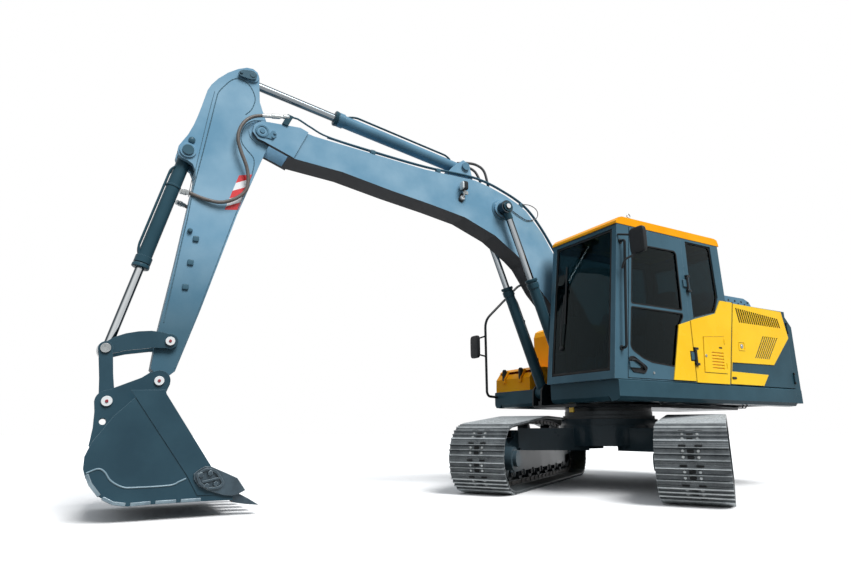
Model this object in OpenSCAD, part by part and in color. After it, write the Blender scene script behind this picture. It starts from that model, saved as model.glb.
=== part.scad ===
// Crawler excavator of about 15 t, at rest with the tracks turned under the upper structure.
// Millimetres. X points forward of the upper structure, Y to the cab side, Z up.
// The origin is the slew axis on the ground.

/* [Undercarriage] */
// Angle of the tracks under the upper structure, degrees
swing_deg = 33.8; // [0:0.1:360]
// Distance between the middles of the two tracks
track_gauge = 2000; // [1800:10:2400]
// Width of a track shoe
shoe_width = 600; // [450:10:800]
// Distance from sprocket axle to idler axle
tumbler_distance = 3060; // [2800:10:3400]
// Wanted length of one shoe along the chain
shoe_pitch = 171; // [150:1:200]
// Height of a grouser bar
grouser_height = 24; // [15:1:32]
// Height of the chain's outer face over the carrier rollers
carrier_height = 788; // [740:1:820]

/* [Upper structure] */
// Side face of the deck and of the cab from the middle
side_y = 1245; // [1150:5:1300]
// Right face of the cab
cab_right_y = 256; // [240:1:330]
// Height of the deck's top face
deck_z = 1136; // [1100:1:1180]
// Height of the top of the cab roof
roof_z = 2858; // [2700:1:3000]
// Radius of the tail of the counterweight
tail_radius = 2420; // [2200:10:2600]
// Top of the side panels and of the counterweight
panel_top_z = 2096; // [1950:1:2250]

/* [Front tools] */
// Sideways offset of the boom from the slew axis
boom_y = -70; // [-150:1:50]
// Boom length between foot pin and tip pin
boom_length = 4618; // [4200:1:5000]
// Angle of the boom at rest, degrees
boom_deg = 23.07; // [0:0.01:40]
// Arm length between its pivot and the bucket pin
arm_length = 2524; // [2100:1:3000]
// Angle of the arm at rest, degrees
arm_deg = -74.7; // [-110:0.1:-20]
// Half width of the boom box
boom_half = 140; // [120:1:180]
// Half width of the arm box
arm_half = 116; // [95:1:118]
// Width of the bucket
bucket_width = 1000; // [700:10:1200]
// Number of bucket teeth
tooth_count = 5; // [4:1:6]
// Radius of the bucket's lifting hole
lift_hole_r = 25; // [15:1:35]
// Radius of the boom cylinder barrels
boom_barrel_r = 62; // [55:1:64]

/* [Hidden] */
$fn = 48;
pin_gap = 0.9;
bay_end = tail_radius - 520;
blue = "#34505e";
yellow = "#f8bd2c";
steel = "#6f7274";
dark = "#232628";
chrome = "#cfd3d6";
foot = [195, 1651];
boom_k = boom_length / 4618;
arm_k = arm_length / 2524;
tip = [foot[0] + boom_length * cos(boom_deg), foot[1] + boom_length * sin(boom_deg)];
bpin = [tip[0] + arm_length * cos(arm_deg), tip[1] + arm_length * sin(arm_deg)];
cyl_base = [745, 1095];
cyl_lane = 235;
cyl_pin = on_boom([1889, 874]);
arm_cyl_base = on_boom([2505, 1122]);
arm_cyl_pin = on_arm([-529, 276]);
bkt_cyl_base = on_arm([501, 523]);
rock_pin = on_arm([arm_length / arm_k - 336, 35]);
link_top = [bpin[0] + 407, bpin[1] + 243];
link_low = [bpin[0] + 351, bpin[1] - 168];
plate_t = 10;
chain_t = 60;
loop_r = 324;
axle_z = grouser_height + plate_t + loop_r;
wheels = [
    [-tumbler_distance / 2, axle_z, loop_r],
    [tumbler_distance / 2, axle_z, loop_r],
    [240, carrier_height - 120, 120],
    [-760, carrier_height - 130, 120]
];

function turn(p, a) = [p[0] * cos(a) - p[1] * sin(a), p[0] * sin(a) + p[1] * cos(a)];
function on_boom(p) = foot + turn([p[0] * boom_k, p[1]], boom_deg);
function on_arm(p) = tip + turn([p[0] * arm_k, p[1]], arm_deg);
function heading(a, b) = atan2(b[1] - a[1], b[0] - a[0]);
function unit(v) = v / norm(v);
function nrm(a, b) = let (d = unit(b - a)) [-d[1], d[0]];
function meet(p, d, q, e) =
    p + d * ((q[0] - p[0]) * e[1] - (q[1] - p[1]) * e[0]) / (d[0] * e[1] - d[1] * e[0]);
function inset(pts, t) = let (n = len(pts)) [
    for (i = [0 : n - 1])
        let (a = pts[(i + n - 1) % n], b = pts[i], c = pts[(i + 1) % n], u = nrm(a, b), v = nrm(b, c))
            norm(u - v) < 0.01 ? b + t * u : meet(a + t * u, b - a, b + t * v, c - b)
];

// Flat outline in X and Z, made into a plate from y0 to y1.
module plate(y0, y1) {
    translate([0, y1, 0]) rotate([90, 0, 0]) linear_extrude(y1 - y0) children();
}

// Round bar along Y.
module bar_y(p, y0, y1, r) {
    translate([p[0], y0, p[1]]) rotate([-90, 0, 0]) cylinder(r = r, h = y1 - y0);
}

// Local frame whose X runs along the heading a in the X Z plane.
module along(p, a) {
    translate([p[0], 0, p[1]]) rotate([0, -a, 0]) children();
}

module block(x0, x1, y0, y1, z0, z1) {
    translate([x0, y0, z0]) cube([x1 - x0, y1 - y0, z1 - z0]);
}

// Round bar between two points in space.
module rod3(a, b, r) {
    d = b - a;
    translate(a) rotate([0, acos(d[2] / norm(d)), atan2(d[1], d[0])])
        cylinder(r = r, h = norm(d), $fn = 20);
}

// Bent pipe through points, with a ball at each bend.
module pipe(pts, r) {
    for (i = [0 : len(pts) - 2]) rod3(pts[i], pts[i + 1], r);
    for (i = [1 : len(pts) - 2]) translate(pts[i]) sphere(r = r * 1.12, $fn = 20);
}

module both_sides(y) {
    translate([0, y, 0]) children();
    translate([0, -y, 0]) mirror([0, 1, 0]) children();
}

// Track path: outer tangents round the wheels, walked from the idler's underside.
function leg(i) = let (
        a = wheels[i], b = wheels[(i + 1) % 4], d = norm([b[0] - a[0], b[1] - a[1]]),
        h = atan2(b[1] - a[1], b[0] - a[0]) + asin((a[2] - b[2]) / d), n = [sin(h), -cos(h)]
    ) [[a[0], a[1]] + a[2] * n, [b[0], b[1]] + b[2] * n, h];
legs = [for (i = [0 : 3]) leg(i)];
function arc_deg(i) = let (d = legs[(i + 1) % 4][2] - legs[i][2]) d - 360 * floor(d / 360);
function leg_len(i) = norm(legs[i][1] - legs[i][0]);
function arc_len(i) = wheels[(i + 1) % 4][2] * arc_deg(i) * PI / 180;
function walk(s, i = 0) = i > 3 ? legs[0][0] :
    s <= leg_len(i) ? legs[i][0] + (legs[i][1] - legs[i][0]) * s / leg_len(i) :
    s <= leg_len(i) + arc_len(i) ? let (
            w = wheels[(i + 1) % 4], h = legs[i][2] + (s - leg_len(i)) / w[2] * 180 / PI
        ) [w[0] + w[2] * sin(h), w[1] - w[2] * cos(h)] :
    walk(s - leg_len(i) - arc_len(i), i + 1);
loop_len = leg_len(0) + leg_len(1) + leg_len(2) + leg_len(3)
    + arc_len(0) + arc_len(1) + arc_len(2) + arc_len(3);
shoe_count = round(loop_len / shoe_pitch);
loop_pts = [for (i = [0 : shoe_count - 1]) walk(i * loop_len / shoe_count)];

// Outline of one shoe over its chord: plate ends and three grouser bars.
function shoe(a, b) = let (d = unit(b - a), n = [d[1], -d[0]], w = norm(b - a),
    h = plate_t + grouser_height) [
    a + n * 3,
    a + d * 5 + n * plate_t,
    for (g = [0.17, 0.48, 0.8])
        each [a + d * (g * w - 13) + n * plate_t, a + d * (g * w) + n * h,
            a + d * (g * w + 13) + n * plate_t],
    b - d * 5 + n * plate_t
];
shoe_line = [for (i = [0 : shoe_count - 1]) each shoe(loop_pts[i], loop_pts[(i + 1) % shoe_count])];

module under_place() {
    rotate([0, 0, swing_deg]) children();
}

module track() {
    chain_in = inset(loop_pts, chain_t);
    plate(-shoe_width / 2, shoe_width / 2) difference() {
        polygon(shoe_line);
        polygon(loop_pts);
    }
    plate(-75, 75) difference() {
        polygon(loop_pts);
        polygon(chain_in);
    }
}

module track_left() {
    color(steel) under_place() translate([0, track_gauge / 2, 0]) track();
}

module track_right() {
    color(steel) under_place() translate([0, -track_gauge / 2, 0]) track();
}

module track_frames() {
    e = tumbler_distance / 2;
    color(blue) under_place() both_sides(track_gauge / 2) {
        plate(-110, 110) polygon([
            [-e + 330, 300], [-e + 330, 480], [-e + 480, 560], [e - 560, 560], [e - 300, 470],
            [e - 300, 290], [e - 480, 262], [-e + 420, 262]
        ]);
        for (y = [-128, 110]) plate(y, y + 18) polygon([
            [-e + 330, 190], [-e + 300, 420], [-e + 420, 440], [e - 420, 420], [e - 350, 300],
            [e - 380, 190]
        ]);
        for (y = [-128, 92]) plate(y, y + 36) polygon([
            [-e - 90, 320], [-e - 90, 400], [-e + 330, 430], [-e + 330, 300]
        ]);
        for (y = [-110, 78]) block(-e + 480, e - 560, y, y + 32, 555, 645);
        block(e - 320, e - 255, -110, 110, 270, 480);
        bar_y([e, axle_z], -160, -105, 245);
        plate(-160, -105) polygon([[e - 330, 270], [e - 330, 480], [e, axle_z + 190], [e, axle_z - 190]]);
        for (w = [wheels[2], wheels[3]]) block(w[0] - 45, w[0] + 45, -110, -60, 555, w[1]);
    }
}

module sprockets() {
    r = (loop_r - chain_t) * cos(180 * shoe_pitch / (2 * PI * (loop_r - chain_t))) - 3;
    color(dark) under_place() both_sides(track_gauge / 2) translate([tumbler_distance / 2, 0, axle_z])
        rotate([-90, 0, 0]) {
        translate([0, 0, -26]) linear_extrude(52) difference() {
            polygon([for (i = [0 : 83]) (i % 4 < 2 ? r : r - 42) * [cos(i * 360 / 84),
                sin(i * 360 / 84)]]);
            circle(r = 120);
        }
        translate([0, 0, -104.7]) cylinder(r = 165, h = 78.7);
        translate([0, 0, -26]) cylinder(r = 150, h = 86);
        translate([0, 0, 60]) cylinder(r = 118, h = 70);
        for (a = [0 : 30 : 330]) rotate([0, 0, a]) translate([134, 0, 60])
            cylinder(r = 9, h = 10, $fn = 6);
    }
}

module idlers() {
    r = (loop_r - chain_t) * cos(180 * shoe_pitch / (2 * PI * (loop_r - chain_t))) - 3;
    color(dark) under_place() both_sides(track_gauge / 2)
        translate([-tumbler_distance / 2, 0, axle_z]) rotate([-90, 0, 0]) {
        translate([0, 0, -72]) difference() {
            cylinder(r = r, h = 144);
            translate([0, 0, -1]) cylinder(r = r - 60, h = 40);
            translate([0, 0, 105]) cylinder(r = r - 60, h = 40);
        }
        translate([0, 0, -91.7]) cylinder(r = 62, h = 183.4);
    }
}

module rollers() {
    z = grouser_height + plate_t + chain_t + 0.3;
    step = (tumbler_distance - 900) / 6;
    color(dark) under_place() both_sides(track_gauge / 2) {
        for (i = [0 : 6]) translate([-tumbler_distance / 2 + 440 + i * step, 0, z + 78])
            rotate([-90, 0, 0]) {
            translate([0, 0, -84]) cylinder(r = 78, h = 168, $fn = 28);
            translate([0, 0, -110]) cylinder(r = 40, h = 220, $fn = 20);
        }
        for (w = [wheels[2], wheels[3]]) translate([w[0], 0, w[1]]) rotate([-90, 0, 0]) {
            translate([0, 0, -60]) cylinder(r = 55, h = 130, $fn = 28);
        }
    }
}

module travel_motors() {
    color(blue) under_place() both_sides(track_gauge / 2) translate([tumbler_distance / 2, 0, axle_z])
        rotate([-90, 0, 0]) {
        translate([0, 0, -300]) cylinder(r = 120, h = 140);
        translate([0, 0, -340]) cylinder(r = 80, h = 40);
    }
}

module car_body() {
    inner = track_gauge / 2 - 110.3;
    color(blue) under_place() difference() {
        union() {
            translate([0, 0, 470]) cylinder(r = 600, h = 230);
            translate([0, 0, 700]) cylinder(r = 570, h = 74);
            for (sx = [-1, 1]) for (sy = [-1, 1]) scale([sx, sy, 1]) {
                translate([0, 0, 418]) linear_extrude(250) polygon([
                    [120, 330], [430, 160], [820, inner], [420, inner]
                ]);
            }
        }
        translate([0, 0, 439]) cylinder(r = 260, h = 200);
        translate([520, 0, 440]) cylinder(r = 32, h = 600);
        for (s = [0, 1]) mirror([0, s, 0]) block(-1200, 1200, inner - 18.2, inner + 5, 400, 442);
    }
}

module slew_ring() {
    color(steel) difference() {
        union() {
            translate([0, 0, 774]) cylinder(r = 540, h = 40);
            translate([0, 0, 814]) cylinder(r = 515, h = 48);
        }
        translate([0, 0, 770]) cylinder(r = 420, h = 100);
    }
}

cab_line = [[1165, deck_z], [958, 2770], [-706, 2770], [-730, 2100], [-740, deck_z]];
door_line = [[978, deck_z + 16], [777, 2752], [-40, 2752], [-40, deck_z + 16]];
door_hole = [[984, deck_z + 10], [782, 2758], [-46, 2758], [-46, deck_z + 10]];
quarter_line = [[-122, 1850], [-122, 2740], [-570, 2740], [-600, 2130], [-520, 1950]];
front_line = [[1131, 1400], [962, 2740]];
pane_up = [[850, 1915], [765, 2550], [720, 2572], [440, 2582], [90, 2588], [62, 2560], [62, 1915]];
pane_low = [
    [854, 1880], [62, 1880], [62, 1838], [168, 1701], [272, 1292], [618, 1318], [749, 1356], [880, 1424],
    [912, 1469]
];

module main_frame() {
    color(dark) {
        difference() {
            translate([0, 0, 862.3]) cylinder(r = 510, h = 45.7);
            translate([0, 0, 860]) cylinder(r = 420, h = 50);
        }
        translate([0, 0, 905]) linear_extrude(30) polygon([
            [820, -415], [820, 330], [300, 620], [-1200, 560], [-bay_end + 20, 480],
            [-bay_end + 20, -480], [-1200, -560], [300, -620], [680, -415]
        ]);
        for (x = [[630, 689.7], [-160, -90], [-900, -840], [-bay_end + 200, -bay_end + 260]]) {
            block(x[0], x[1], 340, side_y - 145.3, 935, deck_z - 40.3);
            block(x[0], x[1], -side_y + 145.3, -420, 935, deck_z - 40.3);
        }
        for (s = [-1, 1]) {
            y = s > 0 ? boom_y + 210 : boom_y - 250;
            plate(y, y + 40) difference() {
                union() {
                    polygon([
                        [-bay_end + 50, 935], [820, 935], [820, 985], [560, 985], [470, 1200],
                        [330, 1600], [330, 1700], [130, 1795], [-120, 1640], [-640, 1150], [-760, 1128],
                        [-bay_end + 50, 1060]
                    ]);
                    translate(foot) circle(r = 150);
                }
                translate(foot) circle(r = 56);
            }
            for (q = [[145, 170], [300, 322]]) {
                y0 = s > 0 ? boom_y + q[0] : boom_y - q[1];
                plate(y0, y0 + q[1] - q[0]) difference() {
                    union() {
                        polygon([[420, 935], [860, 935], [845, 1120], [640, 1120], [420, 1000]]);
                        translate(cyl_base) circle(r = 98);
                    }
                    translate(cyl_base) circle(r = 40);
                }
            }
            bar_y(cyl_base, boom_y + s * 234 - 80, boom_y + s * 234 + 80, 40);
        }
        bar_y(foot, boom_y - 262, boom_y + 262, 56);
    }
}

module deck_skirts() {
    z0 = 925;
    color(blue) {
        for (s = [0, 1]) mirror([0, s, 0]) {
            x1 = s == 0 ? 1115 : 800;
            translate([-bay_end + 5, 0, 0]) rotate([90, 0, 90]) linear_extrude(x1 + bay_end - 5) polygon([
                [side_y - 145, deck_z], [side_y - 145, z0 + 60], [side_y - 105, z0],
                [side_y - 25, z0 + 8], [side_y + 3, z0 + 45], [side_y + 3, deck_z - 12],
                [side_y - 9, deck_z]
            ]);
        }
        plate(cab_right_y, side_y - 145) polygon([
            [1000, deck_z], [1000, z0 + 40], [1030, z0], [1095, z0 + 10], [1115, z0 + 45], [1115, deck_z]
        ]);
        plate(-side_y + 145, -420) polygon([
            [690, deck_z], [690, z0 + 40], [720, z0], [780, z0 + 10], [800, z0 + 45], [800, deck_z]
        ]);
        block(-740, 1000, cab_right_y, side_y - 145, deck_z - 40, deck_z);
        block(-bay_end + 5, 690, -side_y + 145, -420, deck_z - 40, deck_z);
        block(-bay_end + 5, -740, 520, side_y - 145, deck_z - 40, deck_z);
    }
}

module cab_frame() {
    t = 42;
    color(dark) for (z = [1420, 2230]) {
        bar_z(-56, side_y + 24, z - 95, z + 95, 8);
        for (d = [-95, 71]) block(-100, -44, side_y - 1, side_y + 36, z + d, z + d + 24);
    }
    color(dark) difference() {
        plate(cab_right_y, side_y) polygon(cab_line);
        plate(cab_right_y + t, side_y - t) polygon(inset(cab_line, t));
        block(-650, 890, cab_right_y + t, side_y - t, 2700, 2800);
        plate(side_y - t - 5, side_y + 5) polygon(door_hole);
        plate(side_y - t - 5, side_y + 5) polygon(quarter_line);
        plate(cab_right_y + 62, side_y - 62) polygon([
            [1230, 1215], [1060, 2725], [900, 2725], [1060, 1215]
        ]);
        plate(cab_right_y - 5, cab_right_y + t + 5) polygon([
            [1050, 1480], [890, 2690], [-560, 2690], [-590, 1800], [200, 1800], [360, 1480]
        ]);
        block(-760, -640, cab_right_y + 90, side_y - 90, 1800, 2640);
    }
}

module cab_roof() {
    color(yellow) {
        difference() {
            plate(cab_right_y - 4, side_y + 4) polygon([
                [972, 2770], [966, 2800], [925, 2842], [872, roof_z], [-660, roof_z], [-708, 2845],
                [-728, 2800], [-730, 2770]
            ]);
            block(-640, 860, cab_right_y + 60, side_y - 60, 2700, roof_z - 25);
        }
        translate([-250, 1010, roof_z]) cylinder(r = 26, h = 14);
        translate([-250, 1010, roof_z + 44]) rotate([90, 0, 0]) rotate_extrude($fn = 32)
            translate([26, 0]) circle(r = 7, $fn = 16);
    }
}

module cab_glass() {
    color("#2b3a40") {
        plate(side_y - 28, side_y - 22) polygon(quarter_line);
        plate(cab_right_y + 62, side_y - 62) polygon([
            [1139.3, 1215], [949, 2725], [943, 2725], [1133.3, 1215]
        ]);
        plate(cab_right_y + 20, cab_right_y + 26) polygon([
            [1050, 1480], [890, 2690], [-560, 2690], [-590, 1800], [200, 1800], [360, 1480]
        ]);
        block(-716, -710, cab_right_y + 90, side_y - 90, 1800, 2640);
    }
}

module cab_side_panel() {
    color(yellow) difference() {
        plate(side_y, side_y + 12) polygon([
            [-52, deck_z + 6], [-52, 1812], [-112, 1832], [-500, 1934], [-612, 2096], [-835, 2096],
            [-608, deck_z + 6]
        ]);
        plate(side_y - 1, side_y + 13) polygon(filter_hole);
        block(-104, -40, side_y - 1, side_y + 13, 1320, 1520);
    }
}

filter_hole = [[-190, 1254], [-228, 1650], [-600, 1678], [-590, 1254]];

module filter_cover() {
    color(yellow) for (z = [1320, 1590]) bar_z(-586, side_y + 18, z, z + 60, 7);
    color(yellow) difference() {
        plate(side_y + 0.3, side_y + 18) polygon(inset(filter_hole, 5));
        block(-640, -576, side_y, side_y + 10, 1100, 1800);
        for (i = [0 : 5]) plate(side_y + 8, side_y + 19) polygon([
            [-330 - i * 2, 1300 + i * 34], [-335 - i * 2, 1318 + i * 34], [-540 - i * 2, 1318 + i * 34],
            [-535 - i * 2, 1300 + i * 34]
        ]);
    }
}

module cab_door() {
    color(dark) {
        difference() {
            plate(side_y - 40, side_y + 6) polygon(door_line);
            plate(side_y - 50, side_y + 10) polygon(pane_up);
            plate(side_y - 50, side_y + 10) polygon(pane_low);
        }
        for (z = [1420, 2230]) difference() {
            union() {
                bar_z(-56, side_y + 24, z - 70, z + 70, 14);
                block(-50, 10, side_y + 6, side_y + 22, z - 40, z + 40);
            }
            bar_z(-56, side_y + 24, z - 71, z + 71, 8.3);
        }
        block(820, 960, side_y + 6, side_y + 26, 1250, 1310);
    }
}

module bar_z(x, y, z0, z1, r) {
    translate([x, y, z0]) cylinder(r = r, h = z1 - z0, $fn = 24);
}

module door_glass() {
    color("#2b3a40") {
        plate(side_y - 12, side_y - 6) polygon(pane_up);
        plate(side_y - 12, side_y - 6) polygon(pane_low);
    }
}

module door_panel() {
    color(yellow) plate(side_y + 6, side_y + 16) difference() {
        polygon([[320, deck_z + 18], [155, 1748], [-34, 1806], [-34, deck_z + 18]]);
        polygon([[20, 1365], [20, 1475], [-40, 1475], [-40, 1365]]);
    }
}

module operator_seat() {
    color(dark) {
        block(-250, 260, 500, 1010, 1300, 1420);
        block(-200, 200, 560, 950, 1178, 1300);
        plate(510, 1000) polygon([[-250, 1420], [-130, 1420], [-230, 2080], [-330, 2080]]);
        plate(620, 890) polygon([[-240, 2095], [-330, 2095], [-365, 2260], [-290, 2260]]);
        block(-275, -245, 700, 810, 2060, 2100);
    }
}

module control_consoles() {
    color(dark) {
        for (y = [350, 1040]) {
            block(-180, 320, y, y + 110, 1178, 1560);
            translate([240, y + 55, 1560]) cylinder(r = 26, h = 170);
            translate([240, y + 55, 1730]) sphere(r = 42);
        }
        for (y = [640, 790]) {
            block(780, 860, y, y + 70, 1178, 1300);
            rod3([820, y + 35, 1300], [760, y + 35, 1600], 14);
        }
        block(850, 930, 330, 420, 1178, 1900);
        block(820, 930, 320, 480, 1900, 2080);
    }
}

module counterweight() {
    color(blue) difference() {
        intersection() {
            union() {
                translate([0, 0, 1120]) cylinder(r = tail_radius - 55, h = panel_top_z - 1120 - 190,
                    $fn = 96);
                translate([0, 0, 965]) cylinder(r = tail_radius - 30, h = 40, $fn = 96);
                translate([0, 0, 1005]) cylinder(r = tail_radius, h = 115, $fn = 96);
                translate([0, 0, panel_top_z - 190])
                    cylinder(r1 = tail_radius - 55, r2 = tail_radius - 150, h = 120, $fn = 96);
                translate([0, 0, panel_top_z - 70])
                    cylinder(r1 = tail_radius - 150, r2 = tail_radius - 260, h = 70, $fn = 96);
            }
            translate([0, 0, 900]) linear_extrude(1300) polygon([
                [-bay_end - 0.3, -side_y + 3], [-bay_end - 0.3, side_y - 3],
                [-bay_end - 120, side_y - 3], [-bay_end - 210, side_y - 60],
                [-bay_end - 700, side_y - 400], [-bay_end - 700, -side_y + 400],
                [-bay_end - 210, -side_y + 60], [-bay_end - 120, -side_y + 3]
            ]);
        }
        for (y = [-420, 420]) translate([-bay_end - 180, y, panel_top_z - 160]) cylinder(r = 30, h = 200);
    }
}

module engine_block() {
    color(steel) block(-bay_end + 120, -960, -640, 560, 1180, 1980);
}

module cooling_pack() {
    color(dark) block(-bay_end + 120, -900, 860, 1080, deck_z, 2040);
}

module bay_frame() {
    color(dark) {
        block(-860, -800, -side_y + 60, 790, deck_z, 2070);
        block(-bay_end, -bay_end + 40, -side_y + 60, side_y - 60, deck_z, 2070);
        for (y = [-side_y + 34.3, 860]) block(-bay_end + 5, -850, y, y + 350.4, 2070, 2094);
        block(-bay_end + 5, -bay_end + 70, -866, 866, 2070, 2094);
        block(-860, -780, -side_y + 34.3, 866, 2070, 2094);
        block(-806, -745, 780, side_y - 42, 2060, 2094);
        block(-860, -790, 1100, side_y - 60, deck_z, 2070);
        for (x = [-900, -1500]) block(x - 50, x, -419.7, -330, 935, 1179.7);
        for (x = [-1000, -bay_end + 200]) block(x - 50, x, 420, 519.7, 935, 1179.7);
        for (s = [0, 1]) mirror([0, s, 0]) for (z = [1260, 1880]) for (d = [-70, 40.3]) {
            block(-bay_end + 0.2, -bay_end + 11, side_y - 80, side_y + 20, z + d, z + d + 29.7);
            bar_z(-bay_end + 12, side_y + 13, z + d, z + d + 29.7, 8.4);
        }
    }
}

left_door_line = [[-623, deck_z + 6], [-849, 2090], [-bay_end + 12, 2090], [-bay_end + 12, deck_z + 6]];
left_box_line = [[-752, deck_z + 6], [-849, 2090], [-bay_end + 12, 2090], [-bay_end + 12, deck_z + 6]];
trim_line = [
    [-850, 2088], [-bay_end + 94, 2080], [-bay_end + 14, 1756], [-1500, 1403], [-700, 1392], [-672, 1288],
    [-1362, 1280], [-1244, deck_z + 12], [-632, deck_z + 12]
];

module grille_holes(y0, y1) {
    for (i = [0 : 19]) plate(y0, y1) polygon([
        [-882 - i * 42, 2040 - i * 3], [-922 - i * 42, 1868], [-948 - i * 42, 1868],
        [-908 - i * 42, 2040 - i * 3]
    ]);
    for (i = [0 : 7]) plate(y0, y1) polygon([
        [-1352 - i * 40, 1740], [-1142 - i * 37, 1466], [-1166 - i * 37, 1466], [-1376 - i * 40, 1740]
    ]);
}

module side_door_left() {
    color(blue) difference() {
        union() {
            plate(side_y + 0.3, side_y + 4) polygon(left_door_line);
            plate(side_y - 34, side_y + 4) polygon(left_box_line);
            for (z = [1260, 1880]) bar_z(-bay_end + 12, side_y + 13, z - 40, z + 40, 11);
        }
        plate(side_y - 40, side_y - 8) polygon(inset(left_box_line, 40));
        grille_holes(side_y - 50, side_y + 20);
    }
}

module side_trim_left() {
    color(yellow) difference() {
        plate(side_y + 4, side_y + 12) polygon(trim_line);
        grille_holes(side_y - 50, side_y + 20);
    }
}

module side_door_right() {
    line = [[-560, deck_z + 6], [-560, 2090], [-bay_end + 12, 2090], [-bay_end + 12, deck_z + 6]];
    color(yellow) difference() {
        union() {
            plate(-side_y - 4, -side_y + 34) polygon(line);
            for (z = [1260, 1880]) bar_z(-bay_end + 12, -side_y - 13, z - 40, z + 40, 11);
        }
        plate(-side_y + 8, -side_y + 40) polygon(inset(line, 40));
        for (i = [0 : 11]) plate(-side_y - 20, -side_y + 50) polygon([
            [-1200 - i * 48, 2000], [-1200 - i * 48, 1760], [-1226 - i * 48, 1760], [-1226 - i * 48, 2000]
        ]);
    }
}

module engine_hood() {
    line = [[-850, 2094.3], [-850, 2150], [-962, 2322], [-bay_end + 180, 2322], [-bay_end + 70, 2285],
        [-bay_end + 15, 2210], [-bay_end + 10, 2094.3]];
    color(blue) difference() {
        union() {
            plate(-855, 855) polygon(line);
            for (y = [-700, 560]) bar_y([-850, 2106], y, y + 140, 11);
        }
        plate(-825, 825) polygon([[-880, 2090], [-880, 2144], [-976, 2292], [-bay_end + 188, 2292],
            [-bay_end + 88, 2260], [-bay_end + 44, 2200], [-bay_end + 40, 2090]]);
        for (i = [0 : 11]) bar_y([-1010 - i * 66, 2175], 800, 900, 17);
        for (i = [0 : 11]) bar_y([-1010 - i * 66, 2175], -900, -800, 17);
    }
}

module exhaust_pipe() {
    color(dark) translate([-1500, -560, 2322.3]) difference() {
        cylinder(r = 60, h = 138);
        translate([0, 0, 20]) cylinder(r = 52, h = 138);
    }
}

module fuel_tank() {
    color(yellow) difference() {
        plate(-side_y, -470) polygon([[-552, deck_z], [-552, 2060], [-20, 2060], [50, 2020],
            [80, 1940], [80, 1470], [120, 1430], [372, 1430], [372, deck_z]]);
        translate([-120, -860, 2040]) cylinder(r = 90, h = 40);
    }
    color(dark) translate([-120, -860, 2040]) cylinder(r = 70, h = 60);
}

module tool_box() {
    color(yellow) difference() {
        plate(-side_y + 6, -520) polygon([[374, deck_z], [374, 1400], [700, 1400], [775, 1300],
            [780, deck_z]]);
        plate(-side_y + 40, -554) polygon([[410, deck_z + 40], [410, 1500], [690, 1500], [745, 1290],
            [748, deck_z + 40]]);
    }
}

module tool_box_lid() {
    color(yellow) plate(-side_y + 2, -516) polygon([[387, 1400.3], [378, 1403], [378, 1440],
        [650, 1440], [715, 1400.3]]);
    color(yellow) for (y = [-1180, -680]) bar_y([386, 1445], y, y + 100, 9);
    color(dark) for (y = [-1050, -700]) plate(y - 28, y + 28) polygon([
        [700, 1404], [730, 1420], [800, 1310], [800, 1250], [784, 1250], [784, 1305]
    ]);
}

module handrail() {
    y = -side_y + 50;
    color(dark) {
        pipe([[802.6, y, 1075], [940, y, 1085], [968, y, 1130], [968, y, 2120], [330, y, 2720],
            [-330, y, 2720], [-460, y, 2590], [-460, y, 2060]], 17);
        pipe([[1035, side_y + 0.3, 1440], [1035, side_y + 62, 1440], [930, side_y + 62, 2570],
            [930, side_y + 0.3, 2570]], 14);
    }
}

module mirrors() {
    color(dark) {
        block(890, 915, side_y + 118, side_y + 305, 2390, 2665);
        rod3([962, side_y + 4.5, 2640], [904, side_y + 180, 2600], 12);
        block(880, 892, side_y + 160, side_y + 200, 2560, 2640);
        block(1060, 1085, -side_y - 150, -side_y + 40, 1600, 1910);
        rod3([990, -side_y + 45, 1900], [1070, -side_y - 40, 1860], 12);
        rod3([990, -side_y + 45, 1620], [1070, -side_y - 40, 1660], 12);
    }
}

boom_line = [
    [-70, -110], [120, -118], [1015, 246], [1318, 431], [1462, 470], [1836, 532], [2285, 506],
    [2708, 399], [3198, 261], [3750, 121], [4290, -75], [4290, 268], [4173, 293], [2964, 734],
    [2336, 1017], [2120, 1064], [1889, 1094], [1720, 1098], [1554, 1084], [1234, 947], [943, 757],
    [-40, 122]
];
ear_line = [[4240, -62], [4560, -86], [4618, -95], [4690, -60], [4712, 20], [4670, 92], [4600, 132],
    [4328, 274], [4240, 280]];

function boom_pt(p) = [p[0] * boom_k, p[1]];

module boom() {
    color(blue) translate([0, boom_y, 0]) along(foot, boom_deg) difference() {
        union() {
            plate(-boom_half, boom_half) polygon([for (p = boom_line) boom_pt(p)]);
            bar_y([0, 0], -209.7, 209.7, 132);
            for (y = [-164, 124]) plate(y, y + 40) polygon([for (p = ear_line) boom_pt(p)]);
            for (y = [-102, 72]) plate(y, y + 30) polygon([
                [2330 * boom_k, 1000], [2420 * boom_k, 1120], [2470 * boom_k, 1190],
                [2560 * boom_k, 1190], [2640 * boom_k, 1040], [2700 * boom_k, 850]
            ]);
            bar_y([1889 * boom_k, 874], -180, 180, 105);
            bar_y([boom_length, 0], -172, 172, 45);
            bar_y([2505 * boom_k, 1122], -120, 120, 41);
        }
        bar_y([0, 0], -210, 210, 56.3);
    }
}

module boom_pipes() {
    color(dark) translate([0, boom_y, 0]) along(foot, boom_deg) {
        run = [[1260, 976], [1560, 1110], [1900, 1118], [2340, 1040], [2964, 760], [4050, 362]];
        for (y = [-130, -111, 111, 130]) plate(y - 8.5, y + 8.5) polygon([
            for (p = run) [p[0] * boom_k, p[1] - 11],
            for (i = [len(run) - 1 : -1 : 0]) [run[i][0] * boom_k, run[i][1] + 13]
        ]);
        for (q = [[1640, 1091.4, 4.8], [2800, 808.2, -24.2], [3560, 516.8, -20]])
            translate([q[0] * boom_k, 0, q[1] + 0.6]) rotate([0, -q[2], 0])
            block(-30, 30, -136, 136, 0, 34);
    }
}

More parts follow.
